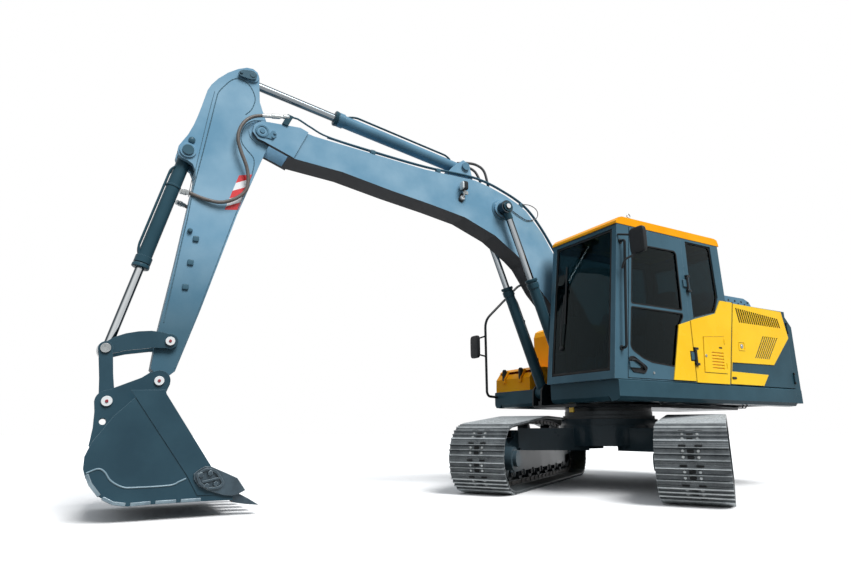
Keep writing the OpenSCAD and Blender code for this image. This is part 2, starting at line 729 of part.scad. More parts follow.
module work_lamp() {
    color(dark) translate([0, boom_y, 0]) along(foot, boom_deg) {
        translate([2480 * boom_k, boom_half + 0.3, 640]) cube([60, 30, 60]);
        translate([2440 * boom_k, boom_half + 30, 600]) cube([120, 90, 130]);
    }
}

boom_cyl_len = norm(cyl_pin - cyl_base);
boom_cyl_deg = heading(cyl_base, cyl_pin);
arm_cyl_len = norm(arm_cyl_pin - arm_cyl_base);
arm_cyl_deg = heading(arm_cyl_base, arm_cyl_pin);
bkt_cyl_len = norm(link_top - bkt_cyl_base);
bkt_cyl_deg = heading(bkt_cyl_base, link_top);

// Barrel along local X from its base eye, bored for the rod.
module barrel(len, r, rod_r, eye_r, eye_half, pin_r) {
    difference() {
        union() {
            translate([eye_r * 0.75, 0, 0]) rotate([0, 90, 0]) cylinder(r = r, h = len - eye_r * 0.75);
            translate([len - 90, 0, 0]) rotate([0, 90, 0]) cylinder(r = r + 10, h = 60);
            bar_y([0, 0], -eye_half, eye_half, eye_r);
        }
        translate([eye_r + 40, 0, 0]) rotate([0, 90, 0]) cylinder(r = rod_r + 0.3, h = len);
        bar_y([0, 0], -eye_half - 1, eye_half + 1, pin_r);
    }
}

// Rod along local X, from x0 to its eye at len.
module rod(x0, len, r, eye_r, eye_half) {
    translate([x0, 0, 0]) rotate([0, 90, 0]) cylinder(r = r, h = len - x0 - eye_r * 0.6);
    bar_y([len, 0], -eye_half, eye_half, eye_r);
}

module boom_barrels() {
    color(blue) for (s = [-1, 1]) translate([0, boom_y + s * cyl_lane, 0]) along(cyl_base, boom_cyl_deg)
        barrel(1345, boom_barrel_r, 40, 82, 64.7, 40 + pin_gap);
}

module boom_rods() {
    color(chrome) for (s = [-1, 1]) translate([0, boom_y + s * cyl_lane, 0])
        along(cyl_base, boom_cyl_deg) {
        rod(boom_cyl_len - 1402, boom_cyl_len, 40, 78, 44);
        bar_y([boom_cyl_len, 0], s > 0 ? -54.7 : -58, s > 0 ? 58 : 54.7, 56);
        bar_y([boom_cyl_len, 0], s > 0 ? 0 : -68, s > 0 ? 68 : 0, 34);
    }
}

arm_line = [
    [-163, 590], [-237, 580], [-334, 548], [-444, 492], [-536, 424], [-598, 357], [-619, 300],
    [-605, 249], [-556, 212], [-451, 176], [-311, 123], [-235, 68], [-130, -14], [-60, -92], [40, -118],
    [151, -104], [886, -80], [1848, -96], [2404, -92], [2462, -56], [2490, 0], [2440, 92], [2119, 155],
    [1490, 248], [1125, 309], [827, 358], [710, 374], [654, 397], [604, 440], [590, 490], [590, 540],
    [576, 578], [540, 602], [495, 610], [433, 597], [351, 579], [233, 570], [118, 572], [11, 578]
];

function arm_pt(p) = [p[0] * arm_k, p[1]];

module arm() {
    color(blue) translate([0, boom_y, 0]) along(tip, arm_deg) difference() {
        union() {
            plate(-arm_half, arm_half)
                polygon([for (i = [len(arm_line) - 1 : -1 : 0]) arm_pt(arm_line[i])]);
            bar_y([0, 0], -123.7, 123.7, 118);
            bar_y([arm_length, 0], -132, 132, 77);
            bar_y([arm_length, 0], -195.7, 195.7, 50);
            bar_y([(2524 - 336) * arm_k, 35], -137.7, 137.7, 62);
            bar_y([501 * arm_k, 523], -132, 132, 70);
            bar_y([-529 * arm_k, 276], -132, 132, 62);
            bar_y([-529 * arm_k, 276], -142, 142, 34);
        }
        bar_y([0, 0], -130, 130, 45.3);
        bar_y([arm_length, 0], -200, 200, 36 + pin_gap);
        plate(-52, 52) polygon([[-260, 640], [-260, 420], [-330, 200], [-330, 40], [-720, 40],
            [-720, 640]]);
        plate(-63, 63) polygon([[400 * arm_k, 700], [400 * arm_k, 420], [640 * arm_k, 395], [760, 700]]);
    }
    color(steel) translate([0, boom_y, 0]) along(tip, arm_deg) {
        bar_y([501 * arm_k, 523], -138, 138, 38);
        bar_y([(2524 - 336) * arm_k, 35], -172, 172, 36);
    }
}

module arm_hoses() {
    color(dark) for (s = [-1, 1]) translate([0, boom_y, 0]) along(tip, arm_deg)
        pipe([[760, s * 132, 330], [480, s * 190, 330], [260, s * 196, 200], [120, s * 196, 150]], 17);
}

module arm_barrel() {
    color(blue) translate([0, boom_y, 0]) along(arm_cyl_base, arm_cyl_deg)
        barrel(1610, 68, 42, 84, 71.7, 41 + pin_gap);
}

module arm_rod() {
    color(chrome) translate([0, boom_y, 0]) along(arm_cyl_base, arm_cyl_deg)
        rod(arm_cyl_len - 1740, arm_cyl_len, 42, 76, 51.7);
}

bucket_line = [
    [-594, -880], [-594, -907], [-337, -904], [-43, -908], [135, -913], [225, -898], [326, -836],
    [421, -710], [443, -648], [445, -566], [412, -470], [290, -280], [160, -140], [40, -92], [-30, -80],
    [-44, -118], [-414, -653]
];
cavity_line = [
    [-800, -870], [-594, -880], [-337, -880], [-43, -884], [135, -888], [213, -875], [309, -818],
    [398, -700], [419, -642], [420, -570], [391, -482], [270, -294], [148, -164], [36, -118],
    [-100, -110], [-900, -500]
];
ear_plate = [
    [-84, -20], [-60, 60], [0, 84], [70, 66], [130, 20], [340, -78], [410, -104], [436, -170],
    [424, -250], [420, -370], [432, -500], [400, -520], [270, -320], [130, -160], [30, -100], [-60, -92]
];

module bucket() {
    w = bucket_width / 2;
    color(dark) translate([bpin[0], boom_y, bpin[1]]) difference() {
        union() {
            difference() {
                plate(-w, w) polygon(bucket_line);
                plate(-w + 22, w - 22) polygon(cavity_line);
            }
            for (y = [-232, 196]) {
                plate(y, y + 36) polygon([for (i = [len(ear_plate) - 1 : -1 : 0]) ear_plate[i]]);
                bar_y([0, 0], y, y + 36, 84);
                bar_y([351, -168], y, y + 36, 84);
            }
            bar_y([0, 0], -242, 242, 36);
            bar_y([351, -168], -242, 242, 36);
            for (y = [-196.5, 190.3]) bar_y([351, -168], y, y + 6.2, 60);
        }
        for (y = [-233, 195]) bar_y([360, -320], y, y + 38, lift_hole_r);
    }
}

module bucket_teeth() {
    w = bucket_width / 2;
    color(steel) translate([bpin[0], boom_y, bpin[1]]) {
        for (i = [0 : tooth_count - 1]) {
            y = -w + 65 + i * (bucket_width - 130) / (tooth_count - 1);
            plate(y - 48, y + 48) polygon([[-594.3, -868], [-594.3, -858], [-640, -862], [-720, -905],
                [-790, -948], [-800, -955], [-700, -944], [-594.3, -925]]);
        }
        for (s = [-1, 1]) plate(s > 0 ? w : -w - 22, s > 0 ? w + 22 : -w) polygon([
            [-290, -704], [-313, -682], [-368, -649], [-417, -656], [-509, -696], [-613, -745],
            [-681, -837], [-626, -863], [-583, -872], [-523, -866], [-403, -827], [-333, -792], [-294, -742]
        ]);
    }
}

module rocker_links() {
    d = heading(rock_pin, link_top);
    l = norm(link_top - rock_pin);
    color(blue) for (y = [boom_y - 160, boom_y + 138]) translate([0, y, 0]) along(rock_pin, d)
        difference() {
        union() {
            plate(0, 22) polygon([
                [0, -58], [l * 0.3, -36], [l * 0.7, -34], [l, -50], [l, 50], [l * 0.86, 84],
                [l * 0.68, 104], [l * 0.48, 110], [l * 0.28, 104], [l * 0.1, 82], [0, 60]
            ]);
            bar_y([0, 0], 0, 22, 62);
            bar_y([l, 0], 0, 22, 54);
            bar_y([l, 0], y < boom_y ? -5.7 : 0, y < boom_y ? 22 : 27.7, 34);
        }
        bar_y([0, 0], -1, 23, 36.3);
    }
}

module bucket_link() {
    d = heading(link_low, link_top);
    l = norm(link_top - link_low);
    color(blue) translate([0, boom_y, 0]) along(link_low, d) {
        for (y = [-190, 166]) difference() {
            union() {
                plate(y, y + 24) polygon([[0, -56], [l * 0.5, -48], [l, -50], [l, 50], [l * 0.5, 48],
                    [0, 56]]);
                bar_y([0, 0], y, y + 24, 62);
                bar_y([l, 0], y, y + 24, 54);
            }
            bar_y([0, 0], y - 1, y + 25, 36.3);
        }
        bar_y([l, 0], -202, -190, 34);
        bar_y([l, 0], 190, 202, 34);
    }
}

module bucket_barrel() {
    color(blue) translate([0, boom_y, 0]) along(bkt_cyl_base, bkt_cyl_deg)
        barrel(1140, 60, 36, 72, 62.7, 38 + pin_gap);
}

module bucket_rod() {
    color(chrome) translate([0, boom_y, 0]) along(bkt_cyl_base, bkt_cyl_deg) {
        rod(bkt_cyl_len - 1300, bkt_cyl_len, 36, 66, 56);
        bar_y([bkt_cyl_len, 0], -137.7, 137.7, 34);
    }
}

car_body();
slew_ring();
track_frames();
sprockets();
idlers();
rollers();
travel_motors();
track_left();
track_right();
main_frame();
deck_skirts();
cab_frame();
cab_roof();
cab_glass();
cab_side_panel();
operator_seat();
control_consoles();
counterweight();
engine_block();
cooling_pack();
fuel_tank();
tool_box();
bay_frame();
handrail();
mirrors();
exhaust_pipe();
cab_door();
door_glass();
door_panel();
filter_cover();
side_door_left();
side_trim_left();
side_door_right();
engine_hood();
tool_box_lid();
boom();
boom_pipes();
work_lamp();
boom_barrels();
boom_rods();
arm();
arm_hoses();
arm_barrel();
arm_rod();
bucket();
bucket_teeth();
rocker_links();
bucket_link();
bucket_barrel();
bucket_rod();
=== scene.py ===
"""Crawler excavator of about 15 t: finishes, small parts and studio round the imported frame."""
import logging
import math
from dataclasses import dataclass
from enum import Enum
from typing import Any, Callable

import bmesh
import bpy
import numpy as np
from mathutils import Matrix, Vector


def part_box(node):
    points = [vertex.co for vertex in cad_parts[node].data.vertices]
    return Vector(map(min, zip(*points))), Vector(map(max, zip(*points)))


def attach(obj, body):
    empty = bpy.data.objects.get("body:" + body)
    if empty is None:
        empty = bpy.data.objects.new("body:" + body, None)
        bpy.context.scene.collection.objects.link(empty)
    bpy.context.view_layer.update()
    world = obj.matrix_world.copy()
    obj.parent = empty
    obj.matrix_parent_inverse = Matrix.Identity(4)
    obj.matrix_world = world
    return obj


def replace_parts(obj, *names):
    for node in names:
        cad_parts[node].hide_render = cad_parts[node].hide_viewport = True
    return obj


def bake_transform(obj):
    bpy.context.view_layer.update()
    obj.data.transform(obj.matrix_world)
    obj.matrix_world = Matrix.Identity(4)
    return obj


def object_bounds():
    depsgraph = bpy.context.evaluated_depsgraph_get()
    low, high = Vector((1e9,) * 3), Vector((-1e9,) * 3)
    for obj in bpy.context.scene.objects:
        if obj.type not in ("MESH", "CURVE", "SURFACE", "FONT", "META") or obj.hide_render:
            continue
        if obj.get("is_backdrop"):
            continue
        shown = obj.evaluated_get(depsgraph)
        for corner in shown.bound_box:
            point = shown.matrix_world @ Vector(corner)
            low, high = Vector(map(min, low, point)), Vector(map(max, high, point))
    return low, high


Array = np.ndarray
Part = tuple[Array, list[Array]]
Place = Callable[[Array], Array]
Socket = bpy.types.NodeSocket
log = logging.getLogger("excavator")
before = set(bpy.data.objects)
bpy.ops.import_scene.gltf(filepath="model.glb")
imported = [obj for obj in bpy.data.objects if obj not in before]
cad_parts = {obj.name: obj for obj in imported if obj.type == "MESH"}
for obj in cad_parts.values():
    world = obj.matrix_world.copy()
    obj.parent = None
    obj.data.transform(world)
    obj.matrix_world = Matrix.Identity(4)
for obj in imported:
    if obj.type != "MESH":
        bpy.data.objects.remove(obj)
CAD_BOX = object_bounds()

LEFT = np.array([0.0, 1.0, 0.0])
UP = np.array([0.0, 0.0, 1.0])
SIDES = (-1, 1)
FULL_TURN = 2 * math.pi
SHARP_DEG = 38  # Edges that turn more than this stay sharp.
BEVEL_DEG = 40  # Edges that turn more than this are bevelled.


class Body(Enum):
    """Bodies of the machine that new pieces ride on."""

    TRACKS = "undercarriage"
    UPPER = "upper"
    DOOR = "cab_door"
    FILTER = "filter_cover"
    LEFT_DOOR = "side_door_left"
    HOOD = "hood"
    LID = "tool_box_lid"
    BOOM = "boom"
    BOOM_BARRELS = "boom_barrels"
    BOOM_RODS = "boom_rods"
    ARM = "arm"
    ARM_BARREL = "arm_barrel"
    BUCKET = "bucket"
    LINK = "bucket_link"
    BUCKET_BARREL = "bucket_barrel"


class Slot(Enum):
    """Material slots of the record."""

    BLUE = "blue_paint"
    YELLOW = "yellow_paint"
    SHOE = "track_steel"
    DARK = "dark_steel"
    CHROME = "chrome_rod"
    GLASS = "tinted_glass"
    PLASTIC = "dark_plastic"
    CLOTH = "seat_fabric"
    RUBBER = "hose_rubber"
    BUCKET = "bucket_steel"


def linear(code: str) -> tuple[float, float, float, float]:
    """Turn an sRGB hex colour into linear light.

    Args:
        code: Six hex digits after a hash sign.
    Returns:
        Linear red, green, blue and an alpha of one.
    """
    raw = np.array([int(code[i:i + 2], 16) for i in (1, 3, 5)]) / 255.0
    out = np.where(raw <= 0.04045, raw / 12.92, ((raw + 0.055) / 1.055) ** 2.4)
    return (float(out[0]), float(out[1]), float(out[2]), 1.0)


@dataclass(frozen=True)
class Graph:
    """Node tree that the finishes and the studio add their nodes to."""

    tree: bpy.types.NodeTree

    def add(self, kind: str, values: dict[Any, Any] | None = None, out: int | str = 0,
            **settings: Any) -> Socket | None:
        """Add one node with its settings, values and links.

        Args:
            kind: Blender's name for the node type, without its first word.
            values: For each input, a socket to link or a value to set.
            out: Output that is wanted.
            settings: Attributes of the node.
        Returns:
            That output, or nothing for a node that ends the tree.
        """
        node = self.tree.nodes.new("ShaderNode" + kind)
        for key, value in settings.items():
            setattr(node, key, value)
        for key, value in (values or {}).items():
            if isinstance(value, Socket):
                self.tree.links.new(value, node.inputs[key])
            else:
                node.inputs[key].default_value = value
        return node.outputs[out] if len(node.outputs) else None

    def edges(self, radius: float, start: float, share: float) -> tuple[Socket, Socket]:
        """Rounded edges: the dot product of rounded and flat normal falls where an edge is near.

        Args:
            radius: Rounding in metres.
            start: Dot product where the bright edge begins.
            share: Brightening on the sharpest edge.
        Returns:
            The rounded normal and the share of bright edge, which is wear, and on enamel also
            painted highlight.
        """
        soft = self.add("Bevel", {"Radius": radius}, samples=4)
        flat = self.add("NewGeometry", out="Normal")
        turn = self.add("VectorMath", {0: soft, 1: flat}, "Value", operation="DOT_PRODUCT")
        return soft, self.add("MapRange", {0: turn, 1: start, 2: 0.80, 3: 0.0, 4: share})

    def seen(self) -> Socket:
        """Sort the rays: the largest of three flags marks those that should find the pale ground.

        Returns:
            One for rays from the camera, through glass and off gloss, nought for diffuse light.
        """
        flags = ("Is Camera Ray", "Is Transmission Ray", "Is Glossy Ray")
        camera, clear, gloss = (self.add("LightPath", out=flag) for flag in flags)
        either = self.add("Math", {0: camera, 1: clear}, operation="MAXIMUM")
        return self.add("Math", {0: either, 1: gloss}, operation="MAXIMUM")


@dataclass(frozen=True)
class Finish:
    """A surface finish that makes its material once."""

    name: str

    def material(self) -> bpy.types.Material:
        """Make the material on first use.

        Returns:
            The material.
        """
        found = bpy.data.materials.get(self.name)
        if found:
            return found
        made = bpy.data.materials.new(self.name)
        made.use_nodes = True
        made.node_tree.nodes.clear()
        graph = Graph(made.node_tree)
        shader = graph.add("BsdfPrincipled", self.inputs(graph))
        graph.add("OutputMaterial", {"Surface": shader})
        return made

    def inputs(self, g: Graph) -> dict[str, Any]:
        """Values and links of the shader; each kind of finish has its own."""
        raise NotImplementedError


@dataclass(frozen=True)
class Enamel(Finish):
    """Two-pack enamel sprayed on steel plate: smooth, faint orange peel, bright edges that are
    partly wear and partly painted highlight.

    under is the colour of painted shade on faces that look down, soil the heights in metres between
    which a darker tone of the lower end fades out, dust the share of dust near the ground.
    """

    deep: str
    pale: str
    edge: str
    gloss: float = 0.3
    shine: float = 0.12
    dust: float = 0.0
    underside_shade: str = ""
    dark_low_heights: tuple[float, float] | None = None

    def inputs(self, g: Graph) -> dict[str, Any]:
        """Colour drifts over 0.5 m, and edges rounded by 4 mm show wear and a painted highlight.

        Args:
            g: Node tree of the material.
        Returns:
            Values and links of the shader.
        """
        place = g.add("TexCoord", out="Object")
        drift = g.add("TexNoise", {"Vector": place, "Scale": 1 / 0.5, "Detail": 5.0})
        # Real orange peel is about 2 mm wide; it is drawn at 9 mm so that it shows.
        peel = g.add("TexNoise", {"Vector": place, "Scale": 1 / 0.009, "Detail": 2.0})
        # Bright edge colour: partly wear, partly painted highlight.
        soft, bright_edges = g.edges(0.004, 0.97, 0.55)
        tone = g.add("MapRange", {0: drift, 1: 0.35, 2: 0.65})
        colour = g.add("Mix", {0: tone, 6: linear(self.deep), 7: linear(self.pale)}, 2,
                       data_type="RGBA")
        layers = [(bright_edges, self.edge)]
        if self.underside_shade:
            # Painted shade: faces that look down are darkened towards a dim brownish grey.
            up = g.add("SeparateXYZ", {0: g.add("TexCoord", out="Normal")}, 2)
            downward_shade_mask = g.add("MapRange", {0: up, 1: -0.08, 2: -0.42, 3: 0.0, 4: 0.92})
            layers.append((downward_shade_mask, self.underside_shade))
        height = g.add("SeparateXYZ", {0: place}, 2)
        if self.dark_low_heights:
            # The lower end is darker, fading out higher up.
            low_darkening = g.add("MapRange", {0: height, 1: self.dark_low_heights[0], 2: self.dark_low_heights[1], 3: 0.8,
                                       4: 0.0})
            layers.append((low_darkening, "#33525f"))
        if self.dust:
            low = g.add("MapRange", {0: height, 1: 0.95, 2: 0.05, 3: 0.0, 4: self.dust})
            layers.append((g.add("Math", {0: low, 1: drift}, operation="MULTIPLY"), "#8d8377"))
        for share, tint in layers:
            colour = g.add("Mix", {0: share, 6: colour, 7: linear(tint)}, 2, data_type="RGBA")
        rough = g.add("MapRange", {0: drift, 1: 0.3, 2: 0.7, 3: self.gloss - 0.05,
                                   4: self.gloss + 0.08})
        bump = g.add("Bump", {"Height": peel, "Strength": 0.05, "Distance": 0.0006,
                              "Normal": soft})
        return {"Base Color": colour, "Roughness": rough, "Normal": bump,
                "Specular IOR Level": self.shine, "Coat Weight": self.shine,
                "Coat Roughness": 0.12}


@dataclass(frozen=True)
class WornSteel(Finish):
    """Rolled or cast steel in use: rubbed bright at its edges, darker and paler in patches."""

    deep: str
    pale: str
    edge: str
    metal: float = 0.55
    rough: float = 0.46
    round_mm: float = 6.0

    def inputs(self, g: Graph) -> dict[str, Any]:
        """Patches of 0.12 m, scale grit of 6 mm, bright edges as wide as the rounding.

        Args:
            g: Node tree of the material.
        Returns:
            Values and links of the shader.
        """
        place = g.add("TexCoord", out="Object")
        patch = g.add("TexNoise", {"Vector": place, "Scale": 1 / 0.12, "Detail": 6.0,
                                   "Roughness": 0.65})
        grit = g.add("TexNoise", {"Vector": place, "Scale": 1 / 0.006, "Detail": 3.0})
        soft, bright_edges = g.edges(self.round_mm / 1000, 0.98, 0.85)
        tone = g.add("MapRange", {0: patch, 1: 0.36, 2: 0.66})
        body = g.add("Mix", {0: tone, 6: linear(self.deep), 7: linear(self.pale)}, 2,
                     data_type="RGBA")
        rubbed = g.add("Mix", {0: bright_edges, 6: body, 7: linear(self.edge)}, 2, data_type="RGBA")
        rough = g.add("MapRange", {0: grit, 1: 0.3, 2: 0.7, 3: self.rough - 0.1,
                                   4: self.rough + 0.14})
        bump = g.add("Bump", {"Height": grit, "Strength": 0.16, "Distance": 0.001,
                              "Normal": soft})
        return {"Base Color": rubbed, "Metallic": self.metal, "Roughness": rough, "Normal": bump}


@dataclass(frozen=True)
class HardChrome(Finish):
    """Ground and hard-chromed rod: a bright mirror with fine marks left by the grinding wheel, its
    colour darkened by a painted reflection.
    """

    def inputs(self, g: Graph) -> dict[str, Any]:
        """Grinding marks, in truth finer than 0.1 mm, are drawn at 3 mm as changes of gloss.

        Args:
            g: Node tree of the material.
        Returns:
            Values and links of the shader.
        """
        place = g.add("TexCoord", out="Object")
        fine = g.add("TexNoise", {"Vector": place, "Scale": 1 / 0.003, "Detail": 2.0})
        oil = g.add("TexNoise", {"Vector": place, "Scale": 1 / 0.25, "Detail": 3.0})
        marks = g.add("Math", {0: fine, 1: oil}, operation="MULTIPLY")
        # Painted reflection and shade: the colour darkens where the rod turns from the eye and
        # where it faces down, standing in for the dark machine it would mirror. This finish serves
        # the rods and the mirror faces.
        face = g.add("LayerWeight", {"Blend": 0.5}, "Facing")
        painted_away_reflection = g.add("MapRange", {0: face, 1: 0.04, 2: 0.27})
        up = g.add("SeparateXYZ", {0: g.add("NewGeometry", out="Normal")}, 2)
        painted_down_shade = g.add("MapRange", {0: up, 1: 0.15, 2: -0.35, 3: 0.0, 4: 0.8})
        shade = g.add("Math", {0: painted_away_reflection, 1: painted_down_shade}, operation="MAXIMUM")
        colour = g.add("Mix", {0: shade, 6: linear("#dfe3e5"), 7: linear("#3a444a")}, 2,
                       data_type="RGBA")
        rough = g.add("MapRange", {0: marks, 1: 0.1, 2: 0.5, 3: 0.08, 4: 0.2})
        return {"Base Color": colour, "Metallic": 1.0, "Roughness": rough}


@dataclass(frozen=True)
class TintedGlass(Finish):
    """Toughened grey glass: dark to look through, sharp reflections, a little dust."""

    def inputs(self, g: Graph) -> dict[str, Any]:
        """Dust clouds of 0.3 m change the gloss very little.

        Args:
            g: Node tree of the material.
        Returns:
            Values and links of the shader.
        """
        place = g.add("TexCoord", out="Object")
        dust = g.add("TexNoise", {"Vector": place, "Scale": 1 / 0.3, "Detail": 5.0})
        rough = g.add("MapRange", {0: dust, 1: 0.45, 2: 0.75, 3: 0.0, 4: 0.05})
        return {"Base Color": linear("#3a545b"), "Roughness": rough, "Transmission Weight": 1.0,
                "IOR": 1.24, "Specular Tint": linear("#a3cdd4")}


@dataclass(frozen=True)
class Moulded(Finish):
    """Moulded plastic or rubber: matt, with a leather-like grain from the mould."""

    deep: str = "#17191b"
    pale: str = "#232629"
    rough: float = 0.55

    def inputs(self, g: Graph) -> dict[str, Any]:
        """Mould grain of about 1 mm, drawn at 4 mm so that it shows.

        Args:
            g: Node tree of the material.
        Returns:
            Values and links of the shader.
        """
        place = g.add("TexCoord", out="Object")
        pits = g.add("TexVoronoi", {"Vector": place, "Scale": 1 / 0.004})
        drift = g.add("TexNoise", {"Vector": place, "Scale": 1 / 0.1, "Detail": 4.0})
        colour = g.add("Mix", {0: drift, 6: linear(self.deep), 7: linear(self.pale)}, 2,
                       data_type="RGBA")
        rough = g.add("MapRange", {0: drift, 1: 0.3, 2: 0.7, 3: self.rough - 0.08,
                                   4: self.rough + 0.1})
        bump = g.add("Bump", {"Height": pits, "Strength": 0.2, "Distance": 0.0005})
        return {"Base Color": colour, "Roughness": rough, "Normal": bump,
                "Specular IOR Level": 0.2}


@dataclass(frozen=True)
class HoseCover(Finish):
    """Wrapped rubber hose: satin, with the print of the wrapping cloth running round it."""

    deep: str = "#3d3936"
    pale: str = "#6b6460"

    def inputs(self, g: Graph) -> dict[str, Any]:
        """Slanted waves on the hose's own map, in metres, make the wrap print.

        Args:
            g: Node tree of the material.
        Returns:
            Values and links of the shader.
        """
        chart = g.add("UVMap", uv_map="run")
        wrap = g.add("TexWave", {"Vector": chart, "Scale": 1 / 0.02, "Distortion": 0.5}, 1,
                     bands_direction="DIAGONAL")
        fade = g.add("TexNoise", {"Vector": chart, "Scale": 1 / 0.06, "Detail": 4.0})
        colour = g.add("Mix", {0: fade, 6: linear(self.deep), 7: linear(self.pale)}, 2,
                       data_type="RGBA")
        rough = g.add("MapRange", {0: fade, 1: 0.3, 2: 0.7, 3: 0.38, 4: 0.55})
        bump = g.add("Bump", {"Height": wrap, "Strength": 0.25, "Distance": 0.0006})
        return {"Base Color": colour, "Roughness": rough, "Normal": bump}


@dataclass(frozen=True)
class SeatCloth(Finish):
    """Woven polyester seat cloth: dark grey, soft, with a visible weave and a light sheen."""

    def inputs(self, g: Graph) -> dict[str, Any]:
        """Threads of 1.5 mm, drawn 5 mm apart in two crossing waves so that they show.

        Args:
            g: Node tree of the material.
        Returns:
            Values and links of the shader.
        """
        place = g.add("TexCoord", out="Object")
        warp, weft = (g.add("TexWave", {"Vector": place, "Scale": 1 / 0.016}, 1,
                            bands_direction=way) for way in "XY")
        weave = g.add("Math", {0: warp, 1: weft}, operation="MULTIPLY")
        colour = g.add("Mix", {0: weave, 6: linear("#1d1f22"), 7: linear("#33363a")}, 2,
                       data_type="RGBA")
        bump = g.add("Bump", {"Height": weave, "Strength": 0.3, "Distance": 0.001})
        return {"Base Color": colour, "Roughness": 0.85, "Normal": bump, "Sheen Weight": 0.3}


@dataclass(frozen=True)
class Sheeting(Finish):
    """Retroreflective sheeting or coated marking: even colour over fine cells, satin."""

    deep: str = "#c4141c"
    pale: str = "#e2252c"
    cell: float = 0.012

    def inputs(self, g: Graph) -> dict[str, Any]:
        """Prism cells of 3 mm, drawn at the cell size so that they show.

        Args:
            g: Node tree of the material.
        Returns:
            Values and links of the shader.
        """
        place = g.add("TexCoord", out="Object")
        cells = g.add("TexVoronoi", {"Vector": place, "Scale": 1 / self.cell})
        colour = g.add("Mix", {0: cells, 6: linear(self.deep), 7: linear(self.pale)}, 2,
                       data_type="RGBA")
        bump = g.add("Bump", {"Height": cells, "Strength": 0.06, "Distance": 0.0005})
        return {"Base Color": colour, "Roughness": 0.35, "Normal": bump}


# Enamels: deep and pale body colour, then edge colour, partly wear and partly painted highlight.
# The slate blue is one paint, given in copies of different brightness as painted light and shade:
# lighter on the boom, arm, hood and arm cylinder, darker on the rest. The bead copy is lighter
# than the bucket's, a painted highlight along the beads.
SLATE = Enamel("slate_blue_enamel", "#2c4955", "#365562", "#8aa2af", shine=0.05)
SLATE_CAB = Enamel("slate_blue_cab_enamel", "#40606f", "#4c6e7f", "#b9cfdb", shine=0.06)
SLATE_PANEL = Enamel("slate_blue_panel_enamel", "#587f96", "#6790a8", "#b9cfdb", shine=0.06)
# The boom's copy paints shade on its faces that look down.
SLATE_BOOM = Enamel("slate_blue_boom_enamel", "#6f9bb6", "#8fb3c9", "#cfe0ea", 0.45, 0.03,
                    underside_shade="#544f4f")
SLATE_ARM = Enamel("slate_blue_arm_enamel", "#6f9bb6", "#8fb3c9", "#cfe0ea", 0.45, 0.03,
                   dark_low_heights=(1.45, 2.35))
SLATE_LOW = Enamel("slate_blue_enamel_dusty", "#1c333e", "#243d49", "#5f7987", dust=0.2)
SLATE_BUCKET = Enamel("slate_blue_bucket_enamel", "#243f4c", "#2f4c59", "#8199a4", 0.42)
SLATE_BEAD = Enamel("slate_blue_bead_enamel", "#6d8794", "#8fa6b1", "#b9c8cf")
AMBER = Enamel("amber_yellow_enamel", "#ffc919", "#ffd429", "#ffe38a", 0.28, 0.1)
ORANGE = Enamel("orange_yellow_enamel", "#ffa60e", "#ffb41e", "#ffcd6a", shine=0.03)
BLACK_ENAMEL = Enamel("black_enamel", "#10161a", "#181f23", "#565e62", 0.36)
# Bare and plated steel.
SHOE_STEEL = WornSteel("rolled_shoe_steel", "#43484b", "#61676a", "#aeb4b7", 0.3, 0.42, 5.0)
# Grouser ridges are a much brighter steel than the shoe: partly polish from wear, partly painted
# highlight.
RIDGE_STEEL = WornSteel("grouser_steel_polish_and_highlight", "#a4abae", "#c3c9cb", "#eef1f2", 0.6, 0.3, 1.5)
WEAR_STEEL = WornSteel("bare_wear_strip_steel", "#5f727d", "#8597a0", "#e2e8eb", 0.4, 0.36)
CHAIN_STEEL = WornSteel("forged_chain_steel", "#2e2d2c", "#4a4846", "#8d8a86", rough=0.5)
RUNNING_STEEL = WornSteel("cast_running_gear_steel", "#22282c", "#32393d", "#6a7072", 0.3)
ZINC = WornSteel("zinc_plated_steel", "#7f8485", "#a9adad", "#d5d7d6", 0.8, 0.32, 1.5)
TOOTH_STEEL = WornSteel("cast_tooth_steel", "#2b3a43", "#3d4e58", "#93a0a6", 0.25)
CHROME = HardChrome("hard_chromed_rod")
MIRROR_GLASS = HardChrome("silvered_mirror_glass")
# Glass, plastic, rubber and cloth.
GLASS = TintedGlass("toughened_grey_glass")
PLASTIC = Moulded("moulded_black_plastic")
RUBBER = Moulded("black_seal_rubber", "#0e0f10", "#181a1b", 0.62)
WRAPPED_HOSE = HoseCover("wrapped_grey_hose")
BLACK_HOSE = HoseCover("wrapped_black_hose", "#15171a", "#2b3036")
CLOTH = SeatCloth("woven_seat_cloth")
# Sheeting, coated washers, plugs and lenses.
RED_SHEET = Sheeting("red_reflective_sheeting")
WHITE_SHEET = Sheeting("white_reflective_sheeting", "#e9ebee", "#f7f8fa")
WHITE_CAP = Sheeting("white_coated_washer", "#d9dcdd", "#eceeee", 0.006)
RED_CAP = Sheeting("red_grease_plug", "#7e1f2b", "#96303a", 0.004)
YELLOW_REFLEX = Sheeting("yellow_reflector", "#e7b400", "#ffd21f")
LENS = Sheeting("clear_lamp_lens", "#c9d2d6", "#e6ecee", 0.02)


def unit(rows: Array) -> Array:
    """Rows scaled to a length of one."""
    return rows / np.linalg.norm(rows, axis=-1, keepdims=True)


def arc_lengths(path: Array) -> Array:
    """Length run along a path at each of its points, from nought."""
    return np.concatenate([[0], np.cumsum(np.linalg.norm(np.diff(path, axis=0), axis=1))])


def circle(count: int) -> Array:
    """Angles of evenly spaced points on a circle, in radians."""
    return np.linspace(0, FULL_TURN, count, endpoint=False)


def lanes(side: int, near: float, far: float) -> tuple[float, float]:
    """Two lanes of one side in rising order.

    Args:
        side: One for left, minus one for right.
        near: Distance of the first lane.
        far: Distance of the second lane.
    Returns:
        The lower and the higher lane.
    """
    low, high = sorted((side * near, side * far))
    return low, high


